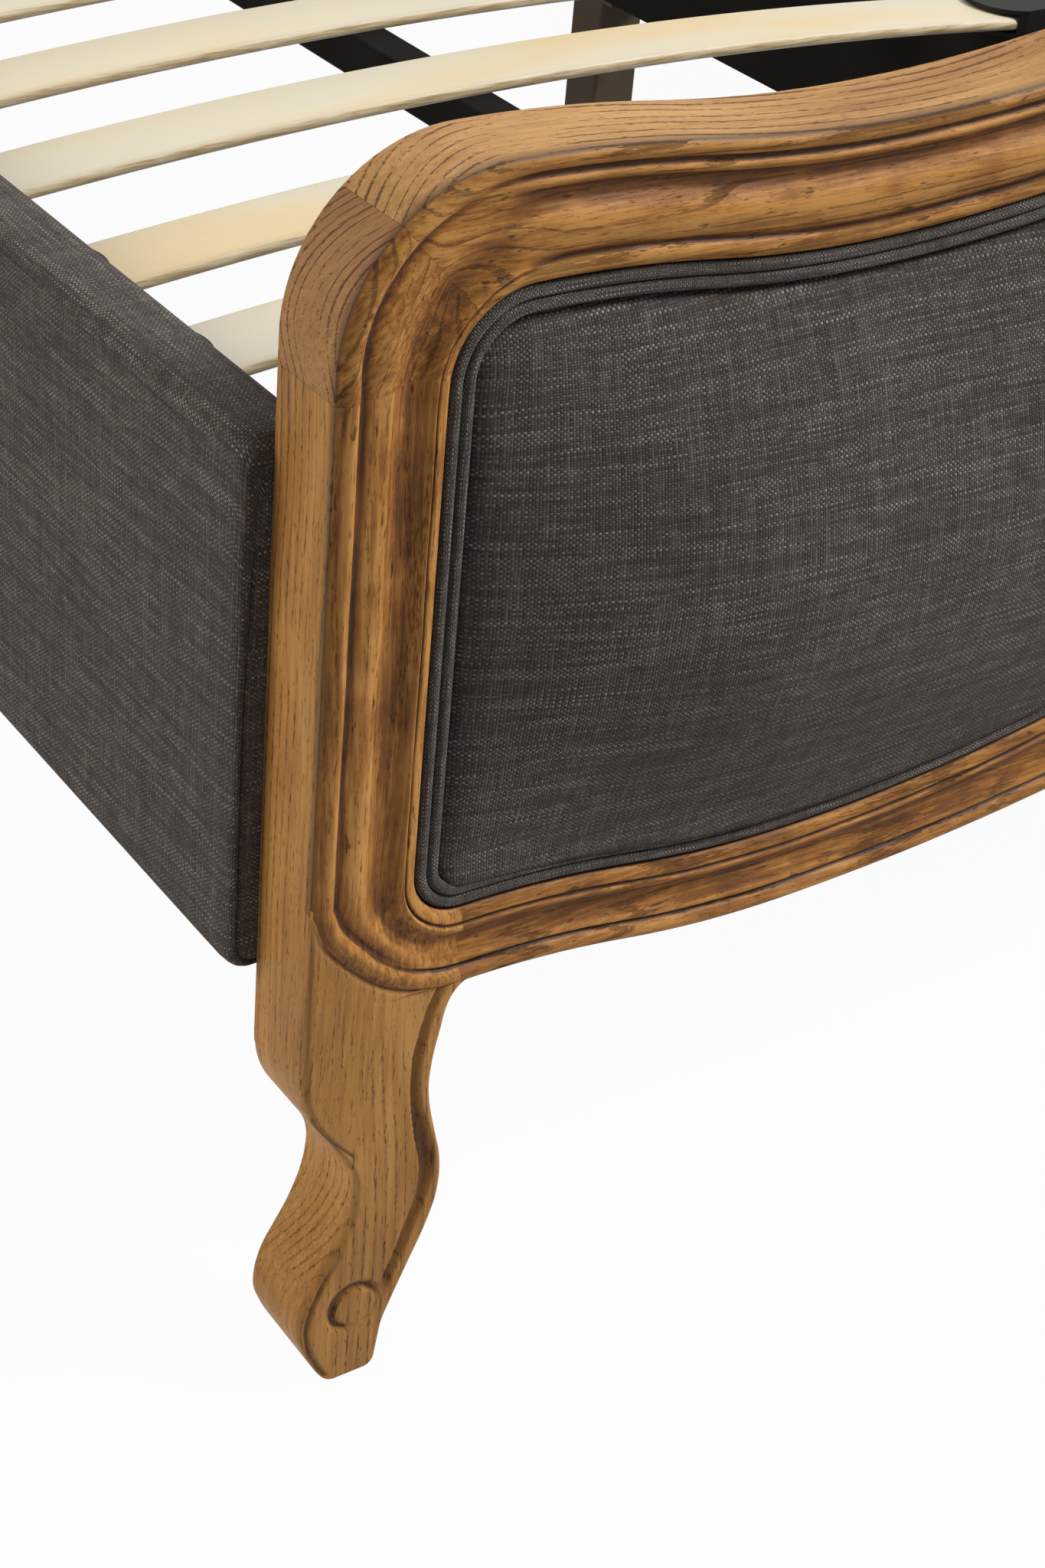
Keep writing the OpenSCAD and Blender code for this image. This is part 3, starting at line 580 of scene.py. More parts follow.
@dataclass
class BirchSlat(Finish):
    """Laminated birch, sanded and thinly lacquered: cream faces, warm patches, brownish edges with plies."""

    def build(self) -> None:
        """Makes faces and edges."""
        where = self.add("TexCoord", out="Object")
        # Patches are 280 mm long and 70 mm wide, grain lines 2.4 mm wide.
        patch = self.streaks(where, (3.52, 14.4, 14.4))
        line = self.streaks(where, (14.0, 420.0, 420.0), 3.0, 0.6)
        face = self.add("ValToRGB", patch, stops=((0.36, "#cdc5b2"), (0.52, "#d0c6ab"), (0.68, "#d3bd93")))
        face = self.coated(face, (self.product(line, 0.22), "#b0a07e"))
        side = self.add("SeparateXYZ", self.add("NewGeometry", out="Normal"), out=1)
        side = self.add("MapRange", self.add("Math", side, operation="ABSOLUTE"), 0.55, 0.95, **SOFT)
        # Plies of the edge are 1.3 mm thick and show as short broken lines.
        ply = self.streaks(where, (40.0, 700.0, 700.0), 2.0, 0.6)
        edge = self.add("ValToRGB", ply, stops=((0.34, "#a38c66"), (0.48, "#c2ab82"), (0.64, "#d3c5a4")))
        self.surface(self.coated(face, (side, edge)), 0.45, line, 0.00008, Specular_IOR_Level=0.4)


@dataclass
class RawPly(Finish):
    """Plywood and softwood inside the bed, sawn and left raw: pale with soft brown lines."""

    def build(self) -> None:
        """Makes soft grain, in lines 8 mm wide."""
        line = self.streaks(self.add("TexCoord", out="Object"), (12.0, 120.0, 120.0), 4.0, 0.6)
        wood = self.add("ValToRGB", line, stops=((0.35, "#d9c7a0"), (0.6, "#c4ac7e"), (0.75, "#a98d5f")))
        self.surface(wood, 0.7, line, 0.0002)


@dataclass
class PowderCoat(Finish):
    """Steel tube and plate, powder coated: even colour with a fine orange-peel skin and a soft shine."""

    colour: str = "#0d0b09"
    worn: str = "#15110e"
    rough: float = 0.65

    def build(self) -> None:
        """Makes the coat."""
        where = self.add("TexCoord", out="Object")
        tone = self.add("TexNoise", where, Scale=18.0, Detail=3.0)
        # Orange peel is about 1 mm from crest to crest.
        peel = self.add("TexNoise", where, Scale=900.0, Detail=1.0)
        coat = self.add("ValToRGB", tone, stops=((0.35, self.colour), (0.7, self.worn)))
        rough = self.total(self.rough - 0.05, (tone, 0.12))
        self.surface(coat, rough, peel, 0.00004, Specular_IOR_Level=0.08)


@dataclass
class MouldedPlastic(Finish):
    """Injection-moulded polypropylene with a fine spark-eroded grain: near black and matt."""

    colour: str = "#0d0d0d"
    pale: str = "#181715"

    def build(self) -> None:
        """Makes the moulded skin. Its grain is 0.7 mm wide, coarser than real, so that it shows."""
        where = self.add("TexCoord", out="Object")
        tone = self.add("TexNoise", where, Scale=25.0)
        skin = self.add("ValToRGB", tone, stops=((0.3, self.colour), (0.75, self.pale)))
        grain = self.add("TexNoise", where, Scale=1400.0)
        self.surface(skin, 0.6, grain, 0.00005, Specular_IOR_Level=0.2)


@dataclass
class ZincPlate(Finish):
    """Zinc-plated steel of bolts and screws: pale grey metal with faint blotches."""

    def build(self) -> None:
        """Makes the plating, with blotches 5 mm wide."""
        blot = self.add("TexNoise", self.add("TexCoord", out="Object"), Scale=220.0, Detail=3.0)
        plate = self.add("ValToRGB", blot, stops=((0.35, "#9a9a96"), (0.7, "#c4c3bd")))
        self.surface(plate, self.total(0.28, (blot, 0.2)), blot, 0.00003, Metallic=1.0)


@dataclass
class Backdrop(Finish):
    """White studio floor: seen white by the camera and in gloss, with a faint shadow where the bed stands."""

    floor_white: float = 0.55
    glow_share: float = 0.96

    def seen(self) -> Socket:
        """1 for what the camera sees straight, in gloss or through glass, and 0 for light on the bed."""
        rays = self.add("LightPath").node.outputs
        seen = rays["Is Camera Ray"]
        for kind in ("Is Glossy Ray", "Is Transmission Ray"):
            seen = self.add("Math", seen, rays[kind], operation="MAXIMUM")
        return seen

    def build(self) -> None:
        """Mixes plain white with a lit matt white."""
        matt = self.add("BsdfDiffuse", (*[self.floor_white] * 3, 1.0))
        white = self.add("Emission", (1.0, 1.0, 1.0, 1.0), 1.0)
        share = self.product(self.seen(), self.glow_share)
        self.add("OutputMaterial", self.add("MixShader", share, matt, white))


@dataclass
class Surroundings(Backdrop):
    """White walls round the studio: seen white, but only a weak even light on the bed."""

    wall_light: float = 0.14

    def start(self) -> bpy.types.World:
        """The empty world."""
        return bpy.data.worlds.new(self.name)

    def build(self) -> None:
        """Makes the walls' light."""
        level = self.add("MapRange", self.seen(), To_Min=self.wall_light, To_Max=1.0)
        self.add("OutputWorld", self.add("Background", (1.0, 1.0, 1.0, 1.0), level))


@dataclass(frozen=True)
class Finishes:
    """All finishes of the bed."""

    oak_across: WaxedOak
    oak_low: WaxedOak
    oak_upright: WaxedOak
    oak_block: WaxedOak
    cloth: LinenWeave
    cord_cloth: LinenWeave
    slat: BirchSlat
    ply: RawPly
    black: PowderCoat
    bronze: PowderCoat
    plastic: MouldedPlastic
    zinc: ZincPlate

    @classmethod
    def make(cls) -> Finishes:
        """Makes each finish once."""
        pith = (0.0, 0.06, 0.11)
        rails = ("#bb9059", "#a97d48", "#8a5e2f")
        blocks = ("#ac7d4a", "#996c3f", "#80562f")
        return cls(
            WaxedOak("waxed_oak_across", Grain.ACROSS, pith, 5.2, *rails, rows=0.31),
            # The bottom rail's oak is the rails' oak darkened: painted shade on the low rail.
            WaxedOak("waxed_oak_low", Grain.ACROSS, pith, 5.2, *rails, rows=0.25, extra_shade=0.09),
            WaxedOak("waxed_oak_upright", Grain.UPRIGHT, (0.0, 0.05, 0.03), 3.9, rows=0.13),
            WaxedOak("waxed_oak_block", Grain.SLANTED, (0.0, 0.02, 0.05), 3.6, *blocks, rows=0.32),
            LinenWeave("grey_linen_weave"),
            LinenWeave("grey_linen_cord", 1.1, 1.0, 0.08),
            BirchSlat("birch_slat"),
            RawPly("raw_ply"),
            PowderCoat("black_powder_coat"),
            PowderCoat("bronze_powder_coat", "#54493c", "#5f5446", 0.5),
            MouldedPlastic("black_moulded_plastic"),
            ZincPlate("zinc_plate"),
        )


# Shape of the end boards, in millimetres: u from the outside of the left post, z above the floor


@dataclass(frozen=True)
class Arc:
    """Part of a circle. side is 1 where the frame's outside is outside of it, and -1 where it is inside."""

    u: float
    z: float
    r: float
    start: float
    end: float
    side: int

    def stations(self, steps: int, out: float = 0.0) -> np.ndarray:
        """Points and outward directions along the arc moved out: u, z, du, dz."""
        a = np.radians(spread(self.start, self.end, steps))
        r = self.r + self.side * out
        c, s = np.cos(a), np.sin(a)
        return np.stack([self.u + r * c, self.z + r * s, self.side * c, self.side * s], 1)


@dataclass(frozen=True)
class Wave:
    """A level curve of four arcs, from its start by a dip to the middle of the bed."""

    start: float
    height: float
    drop: float
    rise: float
    out: int
    dip: float = 285.0
    middle: float = 800.0

    def arcs(self) -> list[Arc]:
        """The four arcs in order."""
        l1, l2 = self.dip - self.start, self.middle - self.dip
        r1 = (l1 * l1 + self.drop**2) / (4 * self.drop)
        r2 = (l2 * l2 + self.rise**2) / (4 * self.rise)
        a1, a2 = math.degrees(math.asin(l1 / 2 / r1)), math.degrees(math.asin(l2 / 2 / r2))
        low = self.height - self.drop
        return [
            Arc(self.start, self.height - r1, r1, 90, 90 - a1, self.out),
            Arc(self.dip, low + r1, r1, 270 - a1, 270, -self.out),
            Arc(self.dip, low + r2, r2, 270, 270 + a2, -self.out),
            Arc(self.middle, low + self.rise - r2, r2, 90 + a2, 90, self.out),
        ]

    def stations(self, steps: int, out: float = 0.0) -> np.ndarray:
        """Stations from start to middle, with steps in a short arc and more in a long one."""
        parts = [a.stations(steps if i < 2 else round(steps * 2.4), out) for i, a in enumerate(self.arcs())]
        return np.concatenate([parts[0]] + [p[1:] for p in parts[1:]])


class Board(Enum):
    """The two end boards, by their prefix."""

    FOOT = "foot"
    HEAD = "head"


# The frame: width of its members over the carving, radius of its outer corner, thickness of the board,
# depth of the rebate behind the opening, height of the rails' underside, half the bed's width and length.
FRAME_W = 53.0
CORNER_R = 80.0
BOARD_T = 50.0
REBATE_T = 18.0
RAIL_Z = 245.0
HALF_W = 800.0
HALF_L = 1005.0
# The opening: place of its side, and radius of its low and top corners.
OPEN_U = 58.0
OPEN_LOW_R = 27.0
OPEN_TOP_R = 40.0
# The joints: where the bottom rail starts, and the block's ends, as a depth below the top and as an angle.
JOINT_U = OPEN_U + OPEN_LOW_R
BLOCK_LOW = 93.0
BLOCK_END = 131.0
SILL = Wave(JOINT_U, RAIL_Z + 36, 17.5, 70, -1)
APRON = Wave(JOINT_U, RAIL_Z - 7.4, 17.5, 47, -1)
LOW_CORNER = Arc(JOINT_U, SILL.height + OPEN_LOW_R, OPEN_LOW_R, 270, 180, 1)
TOPS = {Board.FOOT: Wave(CORNER_R, 655, 14, 70, 1), Board.HEAD: Wave(CORNER_R, 1170, 20, 140, 1)}


@dataclass(frozen=True)
class Section:
    """The carved section: distance from the panel's opening and height above the board's back."""

    points: tuple[Point, ...]
    samples: int = 84

    def heights(self) -> np.ndarray:
        """The section as even samples along its own length, n by 2."""
        return even_points(curve_through(self.points, 6), self.samples)


STILE = Section(
    (
        (0, 41.5), (1.0, 44.0), (3.4, 45.9), (6.2, 46.5), (7.6, 45.4), (8.3, 47.4), (9.6, 48.2),
        (12.5, 45.8), (17, 43.2), (21, 42.7), (25, 44.6), (28.6, 46.9), (31.5, 47.8), (34.6, 47.4),
        (37.2, 46.4), (39.2, 45.6), (40.8, 46.6), (42.8, 48.9), (45, 49.9), (47.4, 49.3), (49.8, 47.9),
        (51.6, 47.2), (53, 46.2),
    )
)
TOP_SHAPE = Section(
    (
        (0, 41.5), (1.2, 43.8), (4, 46.2), (6.5, 46.8), (8.8, 46.0), (10.6, 44.2), (12.2, 44.7), (15, 46.8),
        (19, 48.2), (23, 48.5), (26.5, 47.4), (30, 44.8), (33, 42.9), (36.5, 43.6), (38.8, 46.2),
        (40.2, 47.4), (41.6, 46.9), (43, 45.4), (44.6, 45.6), (46.6, 47.8), (49.4, 49.8), (51.4, 49.6),
        (53, 48.2),
    )
)
BOTTOM_SHAPE = Section(
    (
        (0, 41.5), (1, 44), (4, 46), (7, 46.4), (8.2, 45.4), (9.5, 47.8), (11.5, 47.2), (15, 44.4),
        (20, 42.8), (28, 43.0), (34, 44.4), (39, 46.2), (41, 46.6), (42.2, 45.1), (43, 45.1), (44.4, 47),
        (47, 48.9), (50.5, 48.6), (53, 46.4),
    )
)


def between(first: Section, second: Section, shares: np.ndarray) -> np.ndarray:
    """Sections that turn from first to second, one for each share: m by samples by 2."""
    a, b = first.heights(), second.heights()
    return a[None] + (b - a)[None] * np.asarray(shares, float)[:, None, None]


def wax_and_shade_of(section: np.ndarray) -> np.ndarray:
    """How much wax and painted shade lies on each sample of a section, from 0 on ridges to 1 in narrow
    grooves.
    """
    # A groove lies below the mean height within 4.5 mm, and a narrow one also below that within 1.6 mm.
    n, t = section[:, 0], section[:, 1]
    near = np.abs(n[:, None] - n[None, :]) < 4.5
    level = near @ t / near.sum(1)
    sharp = np.abs(n[:, None] - n[None, :]) < 1.6
    crest = sharp @ t / sharp.sum(1)
    # The darkest values, in narrow grooves, stand partly for real wax and partly for painted shade.
    return np.clip((level - t) / 3.4 + (crest - t) / 1.5 + 0.1 + 0.15 * (n > 52.2), 0, 1)


def hand_marks(along: np.ndarray, across: np.ndarray) -> np.ndarray:
    """Small unevenness of hand carving in mm, along a strip and across its section."""
    # Gouge marks are 70 to 380 mm long and 0.2 mm deep, chatter is 26 mm long and half as deep.
    a, n = along[:, None], across
    slow = np.sin(a / 23.0 + 0.21 * n) * np.sin(a / 61.0 + 1.3) + 0.6 * np.sin(a / 11.0 - 0.33 * n + 2.0)
    fast = np.sin(a / 4.1 + 0.9 * np.sin(a / 17.0) + 0.4 * n) * np.clip(np.sin(a / 47.0 + 0.12 * n), 0, 1)
    return 0.2 * slow + 0.11 * fast


def stand(points: np.ndarray, back: float) -> np.ndarray:
    """Drawn points (u, z, height above the back) in mm as places in metres, from the back's y in mm."""
    u, z, t = points[..., 0], points[..., 1], points[..., 2]
    return np.stack([u - HALF_W, back - t, z], -1) * MM


def mirrored(stations: np.ndarray) -> np.ndarray:
    """Stations of the right half, in the order that goes on from the left half."""
    other = stations[::-1].copy()
    other[:, 0] = 2 * HALF_W - other[:, 0]
    other[:, 2] = -other[:, 2]
    return other


@dataclass
class Strip:
    """A carved strip between an inner and an outer line of stations, with one section a station.

    buried is the number of first stations whose side lies inside another piece. Up to inner_keep from the
    opening and outer_keep from the outer edge, the section keeps its real width.
    """

    inner: np.ndarray
    outer: np.ndarray
    back: float
    shapes: np.ndarray
    buried: int = 0
    bury: float = 3.0
    inner_keep: float = 17.0
    outer_keep: float = 14.0
    side_t: float = 40.0
    rebate_in: float = 10.0
    rebate_wax: float = 0.3

    def rings(self) -> tuple[np.ndarray, np.ndarray, np.ndarray]:
        """Rings of the strip with its rebate and back, and the wax with painted shade and the carving on each
        point.
        """
        m = len(self.inner)
        n, t = self.shapes[:, :, 0], self.shapes[:, :, 1]
        # The marks follow the place on the board, so that they go on across joints, and fade at the edges.
        on_face = smoothstep(1.0, 4.0, n) * (1 - smoothstep(48.5, 52.5, n))
        t = t + hand_marks(self.outer[:, 0] + self.outer[:, 1], n) * on_face
        wax = np.array([wax_and_shade_of(shape) for shape in self.shapes])
        inner, inner_way = self.inner[:, :2], self.inner[:, 2:]
        outer, outer_way = self.outer[:, :2], self.outer[:, 2:]
        inside = inner[:, None] + n[:, :, None] * inner_way[:, None]
        outside = outer[:, None] + (n - FRAME_W)[:, :, None] * outer_way[:, None]
        width = FRAME_W - self.outer_keep - self.inner_keep
        share = np.clip((n - self.inner_keep) / width, 0, 1)[:, :, None]
        start = inner + self.inner_keep * inner_way
        end = outer - self.outer_keep * outer_way
        middle = start[:, None] * (1 - share) + end[:, None] * share
        flat = np.where((n < self.inner_keep)[:, :, None], inside, middle)
        flat = np.where((n > FRAME_W - self.outer_keep)[:, :, None], outside, flat)
        front = np.concatenate([flat, t[:, :, None]], 2)
        inset = np.zeros((m, 1, 1))
        inset[: self.buried] = -self.bury
        falls = np.linspace(self.side_t, 0, 6)
        side = lifted(outer[:, None] + inset * outer_way[:, None] + np.zeros((1, len(falls), 1)), falls)
        steps = np.array([self.rebate_in, self.rebate_in, 0.0])
        rebate = inner[:, None] + steps[None, :, None] * inner_way[:, None]
        rebate = lifted(rebate, np.array([0, REBATE_T, REBATE_T]))
        points = np.concatenate([front, side, rebate], 1)
        plain, in_rebate = np.zeros((m, len(falls))), np.ones((m, len(steps)))
        wax = np.concatenate([wax, plain, self.rebate_wax * in_rebate], 1)
        carved = np.concatenate([1 - smoothstep(51.6, 52.6, n), plain, in_rebate], 1)
        return stand(points, self.back), wax, carved

    def make(self, name: str) -> Piece:
        """The strip as a finished object."""
        rings, wax, carved = self.rings()
        return wrapped(name, rings, wax=wax, carved=carved)


LEG_OUT: tuple[Point, ...] = (
    (0, 64), (0, 20), (0, -36), (0.8, -46), (2.3, -54.3), (4.5, -61), (8, -68.5), (13, -76), (18.2, -83.9),
    (23, -91.8), (27.6, -99.7), (31, -107.1), (32.6, -115), (32.6, -122), (31.6, -131), (29, -141.5),
    (24, -154.5), (19.5, -163.2), (14.7, -171.5), (10, -180), (6.7, -189.2), (4.8, -199.1), (5.1, -210.1),
    (9.5, -222.5), (13.5, -231), (17, -237.4), (19.5, -241.2), (22, -243.7), (25, -244.8),
)
LEG_IN: tuple[Point, ...] = (
    (99, -4.6), (93, -5.4), (89, -7.0), (85.6, -9.8), (82.3, -14.4), (79.6, -22.4), (77.8, -33),
    (75.6, -44), (74.2, -55), (73.7, -66.5), (75, -79), (77.8, -92), (81, -105), (83, -113), (84.3, -124),
    (84.2, -134), (83, -144), (80.5, -153), (77.5, -162), (73.9, -171), (70, -180), (66.3, -189),
    (62.6, -198), (59, -207), (55.5, -216.6), (53.8, -227), (52.5, -237), (51.5, -242), (49, -244.4),
    (44, -244.8),
)
ARCH: tuple[Point, ...] = (
    (-1, 60), (1, 56), (6, 43), (15, 31), (26, 19), (37, 9), (49, 1.4), (61, -3.4), (73, -6.4), (85, -7.4),
)
LEG_CREST: tuple[Point, ...] = (
    (77, 4), (72.5, -5), (67.6, -15.8), (63.8, -30.4), (61.2, -45.2), (61.2, -61.4), (62.8, -78.7),
    (65.9, -96.8), (69.4, -113), (70.2, -127.4), (68, -140.3), (62.9, -155.5), (57.9, -171.3), (53, -183.2),
    (50.4, -195.1), (49, -204),
)
KNEE_LINE: tuple[Point, ...] = ((6.5, -62), (8.5, -67), (13, -74), (20, -83), (30.5, -95))
TOE_LINE: tuple[Point, ...] = (
    (38, -131), (35, -143), (30, -153), (22.4, -166), (16, -178), (10.7, -191), (8.6, -202), (9.2, -212),
    (12.5, -223), (17, -233), (21, -240),
)


@dataclass
class FootLeg:
    """The band-sawn leg below the carved arch of a foot post, with its relief on the front.

    Heights are given from the rails' underside. rows are the steps above, at and below the waist, cols the
    points across, rim_drop is the depth of the groove inside the raised rim, and button is the middle of the
    turned disc.
    """

    back: float
    rows: tuple[int, int, int] = (50, 160, 14)
    cols: int = 96
    heights: tuple[float, float, float, float] = (64.0, -5.0, -236.0, -244.6)
    face_t: float = 48.0
    rim_drop: float = 3.0
    button: Point = (36.9, -198.5)
    button_r: float = 12.0

    def bounds_at(self, z: np.ndarray) -> tuple[np.ndarray, np.ndarray]:
        """Left and right edge of the leg at heights given from the rails' underside."""
        # Inside the post, the leg is kept off its outer face.
        left = np.maximum(across_at(LEG_OUT, z), 0.0) + 0.05 * (z > 60.2)
        return left, np.where(z > LEG_IN[0][1], across_at(ARCH, z) + 1.5, across_at(LEG_IN, z))

    def relief(self, u: np.ndarray, z: np.ndarray, right: np.ndarray) -> tuple[np.ndarray, np.ndarray]:
        """Depth of the carving below the face, and the wax and painted shade in it.

        Args:
            u: places across, rows by columns.
            z: heights of the rows.
            right: right edge of each row.

        Returns:
            Depth in mm and wax with painted shade from 0 to 1, both rows by columns.
        """
        spot = np.stack([u, np.broadcast_to(z[:, None], u.shape)], -1).reshape(-1, 2)
        # The groove runs between the crest and the right edge, and is widest and deepest at the knee.
        at = across_at(LEG_CREST, z)
        share = (u - at[:, None]) / np.maximum(right - at, 1.0)[:, None]
        fade = (smoothstep(-203, -186, z) * (1 - smoothstep(-4, 4, z)))[:, None]
        knee = np.exp(-(((z + 103) / 26.0) ** 2))[:, None]
        fall = smoothstep(0.0, 0.09, share)
        climb = 1 - smoothstep(0.2 + 0.2 * knee, 0.52 + 0.28 * knee, share)
        groove = np.where(share > 0, fall * climb, 0.0) * fade
        depth = groove * (self.rim_drop + 1.0 * knee)
        # Beside the crest and at the knee, the groove's dark is partly wax and partly painted shade on its
        # shaded wall.
        wax = groove * (0.42 + 0.3 * knee + 0.5 * np.exp(-((share / 0.22) ** 2)))
        # Narrow grooves, each with its width, depth, wax and painted shade, and how far it has grown at each
        # place. The line under the arch is mostly a painted shadow below the arch's bead.
        for line, width, deep, dark, grow in (
            (ARCH[1:], 1.6, 1.6, 0.85, 1 - smoothstep(60, 74, u)),
            (KNEE_LINE, 0.9, 0.7, 0.75, 1.0),
            (TOE_LINE, 1.3, 1.5, 0.8, 1 - smoothstep(-182, -150, z)[:, None]),
        ):
            gap = distance_to(curve_through(line, 4), spot)[0].reshape(u.shape)
            cut = np.exp(-((gap / width) ** 2)) * grow
            depth = np.maximum(depth, deep * cut)
            wax = np.maximum(wax, dark * cut)
        away = spot.reshape(*u.shape, 2) - np.array(self.button)
        gap = np.hypot(away[..., 0], away[..., 1])
        # The groove round the disc is widest at its upper left and closes at its lower right. Its dark,
        # heaviest at the upper left, is partly wax and partly painted shade.
        lean = 0.5 + 0.5 * (-away[..., 0] * 0.72 + away[..., 1] * 0.69) / np.maximum(gap, 0.1)
        wide = 1.2 + 2.0 * lean
        ring = np.exp(-(((gap - self.button_r - wide * 0.55) / wide) ** 2))
        ring = ring * (0.25 + 0.75 * smoothstep(0.1, 0.5, lean)) * (gap > self.button_r - 1.0)
        disc = gap < self.button_r - 0.6
        return (
            np.where(disc, 0.25, np.maximum(depth, 2.6 * ring)),
            np.where(disc, 0.05, np.maximum(wax, 0.95 * ring)),
        )

    def make(self, name: str) -> Piece:
        """The leg as one wrapped grid, each ring a level slice."""
        z = graded(self.heights, self.rows)
        left, right = self.bounds_at(z)
        # The columns stand closer at both edges.
        even = spread(0, 1, self.cols - 1)
        share = 0.45 * (0.5 - 0.5 * np.cos(math.pi * even)) + 0.55 * even
        u = left[:, None] + (right - left)[:, None] * share[None, :]
        depth, wax = self.relief(u, z, right)
        # Both edges are rounded by hand, with a radius that changes with the height.
        left_r = np.interp(-z, [-60, 0, 45, 62, 100, 140, 170, 225, 245], [2, 2.6, 4.5, 4.5, 3.5, 6, 7, 4, 2])
        right_r = np.interp(-z, [-10, 30, 245], [2.0, 3.2, 3.2])
        for radius, edge in ((left_r, u - left[:, None]), (right_r, right[:, None] - u)):
            r = radius[:, None]
            depth = depth + (r - np.sqrt(np.clip(r**2 - np.clip(r - edge, 0, None) ** 2, 0, None)))
        narrow = smoothstep(0, 14, right - left)[:, None]
        t = self.face_t - depth * narrow
        front = np.stack([u, np.broadcast_to(z[:, None], u.shape) + RAIL_Z, t], -1)
        levels = (0.0, 0.04, 0.3, 0.6, 0.9)
        near = [np.stack([u[:, 0], z + RAIL_Z, t[:, 0] * h], -1)[:, None] for h in levels]
        far = [np.stack([u[:, -1], z + RAIL_Z, t[:, -1] * h], -1)[:, None] for h in levels[::-1]]
        points = np.concatenate(near + [front] + far, 1)
        side = np.zeros((len(z), len(levels)))
        wax = np.concatenate([side, np.clip(wax * narrow, 0, 1), side], 1)
        return wrapped(name, stand(points, self.back), wax=wax, carved=np.zeros_like(wax), angle=50)


def place(piece: Piece, node: str, slot: str) -> None:
    """Names a piece after its node, puts it on the frame and lets it stand for the node."""
    piece.name = f"{node}_made"
    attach(piece, "frame")
    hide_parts(node)
    LOG.info("made %s", piece.name)


def place_pair(piece: Piece, finish: Finish, pattern: str, slot: str) -> list[Piece]:
    """Dresses a left piece, mirrors it to the right and places both.

    Args:
        piece: the left piece.
        finish: the finish of both.
        pattern: the nodes' name with {} for the side.
        slot: the record's material slot; not used.

    Returns:
        The left and the right piece.
    """
    finish.dress(piece)
    pair = [piece, copy_of(piece, MIRROR)]
    for one, side in zip(pair, ("left", "right")):
        place(one, pattern.format(side), slot)
    return pair


def dress_nodes(nodes: dict[str, Piece], finish: Finish, *names: str) -> None:
    """Gives CAD nodes their finish."""
    for name in names:
        finish.dress(nodes[name])
        LOG.info("dressed %s", name)


